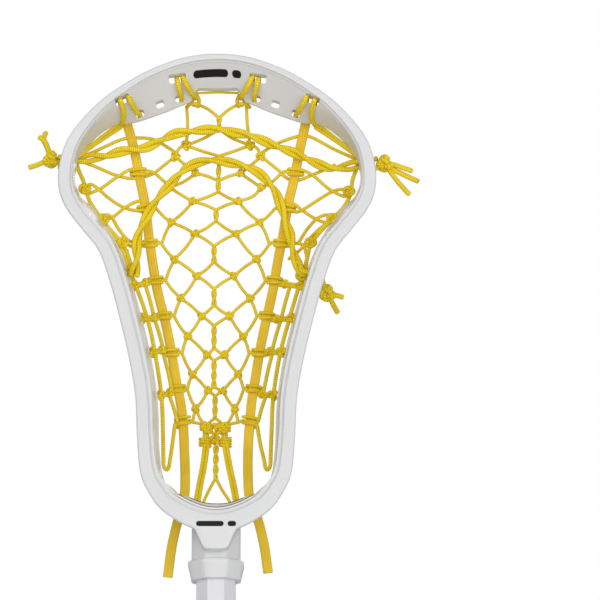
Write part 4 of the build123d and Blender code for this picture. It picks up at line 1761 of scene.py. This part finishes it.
@dataclass
class ThroatCords:
    """Doubled cords from the pocket's last knots to the throat."""

    pocket: Pocket
    finishes: Finishes
    radius: float = 1.05
    spread: float = 1.0

    def build(self) -> None:
        """Build the left and right cords."""
        for side, word in ((-1, "left"), (1, "right")):
            maker = MeshMaker(f"throat_cord_{word}")
            for step in (-1, 1):
                shift = step * self.spread
                route = [(side * 5.4 - 1.2 + shift, 88.0, 1.2), (side * 7.4 - 0.8 + shift, 74.0, 1.0),
                         (side * 10.0 - 0.5 + shift, 60.0, 0.6), (side * 11.4 - 0.3 + shift, 50.0, 0.2),
                         (side * 12.6 + shift, 38.0, 0.0)]
                maker.tube(self.pocket.line(route), self.radius, 10)
            maker.build(self.finishes.net, stands_for=[f"throat_cord_{word}"])


# ------------------------------------------------------------------ studio


@dataclass(frozen=True)
class Studio:
    """Camera, soft lights, pale floor and white surroundings."""

    view_width: float = 0.3456
    view_distance: float = 2.5
    pitch: float = 14.0
    aim_right: float = 0.0476
    aim_height: float = 0.1647

    def build(self) -> None:
        """Set up the whole studio."""
        self._camera()
        self._surroundings()
        self._light("key", (-1.1, -2.2, SOCKET_MOUTH + 1.1), 1.6, 17.5)
        self._light("fill", (1.3, -2.1, SOCKET_MOUTH + 0.2), 1.6, 16.0)
        self._light("low", (0.0, -2.3, SOCKET_MOUTH - 0.14), 1.1, 7.0)
        self._light("back", (0.3, 2.0, SOCKET_MOUTH + 1.2), 1.4, 14.0)
        self._floor()

    def _camera(self) -> None:
        """Long lens, level across and pitched up at the head."""
        data = bpy.data.cameras.new("camera")
        data.lens = data.sensor_width * self.view_distance / self.view_width
        data.clip_end = 100.0
        camera = bpy.data.objects.new("camera", data)
        bpy.context.scene.collection.objects.link(camera)
        angle = math.radians(self.pitch)
        aim = Vector((self.aim_right, 0.0, SOCKET_MOUTH + self.aim_height))
        camera.location = aim - Vector((0, math.cos(angle), math.sin(angle))) * self.view_distance
        camera.rotation_euler = (math.pi / 2 + angle, 0.0, 0.0)
        bpy.context.scene.camera = camera

    @staticmethod
    def _surroundings() -> None:
        """White to look at, softer as a light."""
        world = bpy.data.worlds.new("surroundings")
        bpy.context.scene.world = world
        world.use_nodes = True
        tree = world.node_tree
        seen = tree.nodes["Background"]
        seen.inputs[0].default_value = (1, 1, 1, 1)
        seen.inputs[1].default_value = 1.0
        lit = tree.nodes.new("ShaderNodeBackground")
        lit.inputs[0].default_value = (0.97, 0.98, 1.0, 1)
        lit.inputs[1].default_value = 0.34
        path = tree.nodes.new("ShaderNodeLightPath")
        pick = tree.nodes.new("ShaderNodeMixShader")
        tree.links.new(path.outputs["Is Camera Ray"], pick.inputs[0])
        tree.links.new(lit.outputs[0], pick.inputs[1])
        tree.links.new(seen.outputs[0], pick.inputs[2])
        tree.links.new(pick.outputs[0], tree.nodes["World Output"].inputs[0])
        bpy.context.scene.view_settings.view_transform = "Standard"

    @staticmethod
    def _light(name: str, place: tuple[float, float, float], size: float, power: float) -> None:
        """Square soft light aimed at the head."""
        data = bpy.data.lights.new(name, "AREA")
        data.size, data.energy = size, power
        light = bpy.data.objects.new(name, data)
        light.location = place
        aim = Vector((0, 0, SOCKET_MOUTH + 0.15)) - Vector(place)
        light.rotation_euler = aim.to_track_quat("-Z", "Y").to_euler()
        bpy.context.scene.collection.objects.link(light)

    @staticmethod
    def _floor() -> None:
        """Wide pale floor under the butt."""
        sheet = Sheet("pale_floor")
        where = sheet.place()
        tone = sheet.blend(sheet.range(sheet.noise(where, 3.0, 4.0), 0.3, 0.7, 0.0, 1.0),
                           (0.82, 0.82, 0.82, 1), (0.83, 0.83, 0.83, 1))
        sheet.dress(tone, 0.6, sheet.noise(where, 400.0), 0.0001)
        mesh = bpy.data.meshes.new("floor")
        ring = [(16 * math.cos(a), 16 * math.sin(a), -0.001) for a in (math.tau * k / 96 for k in range(96))]
        mesh.from_pydata(ring, [], [tuple(range(96))])
        mesh.materials.append(sheet.material)
        floor = bpy.data.objects.new("floor", mesh)
        bpy.context.scene.collection.objects.link(floor)


LEFT_STRING = (
    (-82.4, 247.0, 2.0), (-80.6, 241.4), (-78.0, 235.4), (-76.2, 229.4), (-74.0, 223.4), (-70.0, 217.2),
    (-65.6, 211.4), (-60.6, 205.0),
    (-56.6, 199.0), (-53.6, 190.4), (-50.8, 181.8), (-47.0, 174.2), (-40.4, 155.6), (-36.0, 135.8),
    (-32.2, 110.8),
    (-31.2, 90.0), (-30.8, 72.0),
)
RIGHT_STRING = (
    (81.6, 247.0, 2.0), (80.2, 242.0), (78.0, 236.0), (77.0, 228.6), (73.6, 221.2), (66.8, 214.2),
    (59.4, 206.4), (54.2, 200.2),
    (51.2, 189.2), (48.8, 180.0), (46.4, 173.0), (41.3, 155.6), (36.2, 136.2), (32.2, 110.8), (31.2, 90.0),
    (30.6, 72.0),
)
LEFT_KNOTS = ((77.0, 230.6), (66.6, 212.6), (54.8, 200.2), (50.4, 183.4))
RIGHT_KNOTS = ((76.0, 229.2), (66.6, 213.6), (53.8, 200.2), (48.6, 181.0))
LEFT_FANS = (
    ((-81.6, 247.4, 2.0), (-68.0, 254.6, 1.4), (-55.8, 260.6, 1.0), (-48.3, 262.4, -1.6),
     (-38.0, 261.6, -0.4), (-30.0, 257.6, -0.4), (-25.0, 254.4)),
    ((-79.0, 246.4, 1.6), (-71.3, 244.2, 1.0), (-59.9, 240.5), (-51.2, 239.2), (-42.0, 241.4, -2.0),
     (-37.0, 242.9)),
    ((-75.8, 227.6), (-68.4, 231.6), (-59.8, 238.2, 1.0), (-51.2, 243.9, 0.8), (-44.0, 245.6, -2.0)),
    ((-77.6, 230.6), (-74.1, 233.8), (-70.1, 232.0), (-63.8, 226.7, 1.0), (-55.8, 222.4), (-48.3, 221.0),
     (-40.9, 223.4, -2.0)),
    ((-68.2, 212.4), (-61.3, 215.0), (-54.0, 221.8, 1.0), (-46.8, 226.4), (-42.0, 226.8, -2.0)),
    ((-68.2, 215.9), (-62.5, 215.6, 1.0), (-57.9, 209.0), (-52.1, 202.6), (-45.0, 202.0, -1.0)),
    ((-64.0, 209.6), (-58.6, 203.8), (-53.4, 196.6), (-50.4, 188.4), (-49.4, 178.6)),
    ((-55.6, 203.0), (-50.6, 199.0), (-46.0, 201.4, 0.6), (-42.0, 203.0, 1.0)),
    ((-52.6, 196.4), (-51.0, 186.0), (-48.0, 178.4), (-44.4, 175.6)),
)
RIGHT_FANS = (
    ((25.0, 254.0), (31.0, 257.6, -0.4), (37.7, 260.6, -0.4), (47.6, 263.6, -1.6), (52.9, 262.4, 1.0),
     (67.4, 254.3, 1.4), (80.0, 247.6, 2.0)),
    ((44.2, 245.6, -2.0), (48.6, 244.0, 0.8), (55.2, 240.3, 1.0), (62.2, 233.9), (66.8, 230.0, 1.0),
     (73.7, 226.6), (77.0, 227.4)),
    ((36.6, 242.4), (42.0, 239.4, -2.0), (47.6, 238.6), (53.4, 240.4), (62.2, 243.4), (68.0, 245.4, 1.0)),
    ((41.0, 222.6, -2.0), (45.6, 220.4), (49.4, 221.2, 1.0), (58.1, 226.1), (66.8, 230.4), (72.0, 231.0),
     (77.0, 229.4)),
    ((40.6, 226.8, -2.0), (44.1, 225.2), (49.4, 220.6), (56.9, 214.7), (62.7, 211.8), (67.0, 213.4)),
    ((46.5, 202.0, -1.0), (52.3, 210.0), (58.1, 214.9, 1.0), (62.7, 216.4), (67.4, 215.2)),
    ((41.0, 194.0, -1.4), (47.8, 197.6), (54.6, 204.6), (60.0, 209.0), (65.4, 212.6)),
    ((50.2, 199.0), (51.6, 190.0), (50.0, 180.0), (47.4, 174.0)),
    ((43.0, 202.4, 1.0), (47.0, 201.4, 0.6), (51.6, 199.2), (56.4, 202.6)),
)


def dress_cad(finishes: Finishes) -> None:
    """Give the CAD pieces that stay their finishes."""
    for node, paint in (
        ("shaft", finishes.tube), ("end_cap", finishes.rubber), ("head_screw", finishes.steel),
    ):
        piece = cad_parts[node]
        piece.data.materials.clear()
        piece.data.materials.append(paint.material)
        log.info("%s: dressed", node)


def main() -> None:
    """Build every piece in order."""
    logging.basicConfig(level=logging.INFO, format="%(name)s: %(message)s")
    Studio().build()
    finishes = Finishes()
    shape = HeadShape()
    pocket = Pocket()
    dress_cad(finishes)
    head = Head(shape, finishes)
    head.build()
    head.mark("scoop_mark_long", -14.0, 6.0, 9.4, 3.4)
    head.mark("scoop_mark_short", 8.4, 13.6, 9.4, 3.4)
    head.shield_mark("throat_mark_long", -11.0, 4.6, 29.4, 3.0)
    head.shield_mark("throat_mark_short", 6.8, 11.6, 29.4, 3.0)
    BallStop(shape, finishes).build()
    thongs = Thongs(pocket, finishes)
    thongs.build()
    Net(pocket, thongs, finishes).build()
    SideLacing(-1, pocket, thongs, finishes, LEFT_STRING, LEFT_KNOTS, LEFT_FANS).build()
    SideLacing(1, pocket, thongs, finishes, RIGHT_STRING, RIGHT_KNOTS, RIGHT_FANS).build()
    ShootingStrings(pocket, finishes).build()
    ScoopLaces(shape, pocket, finishes).build()
    ThroatCords(pocket, finishes).build()


if __name__ == "__main__":
    main()
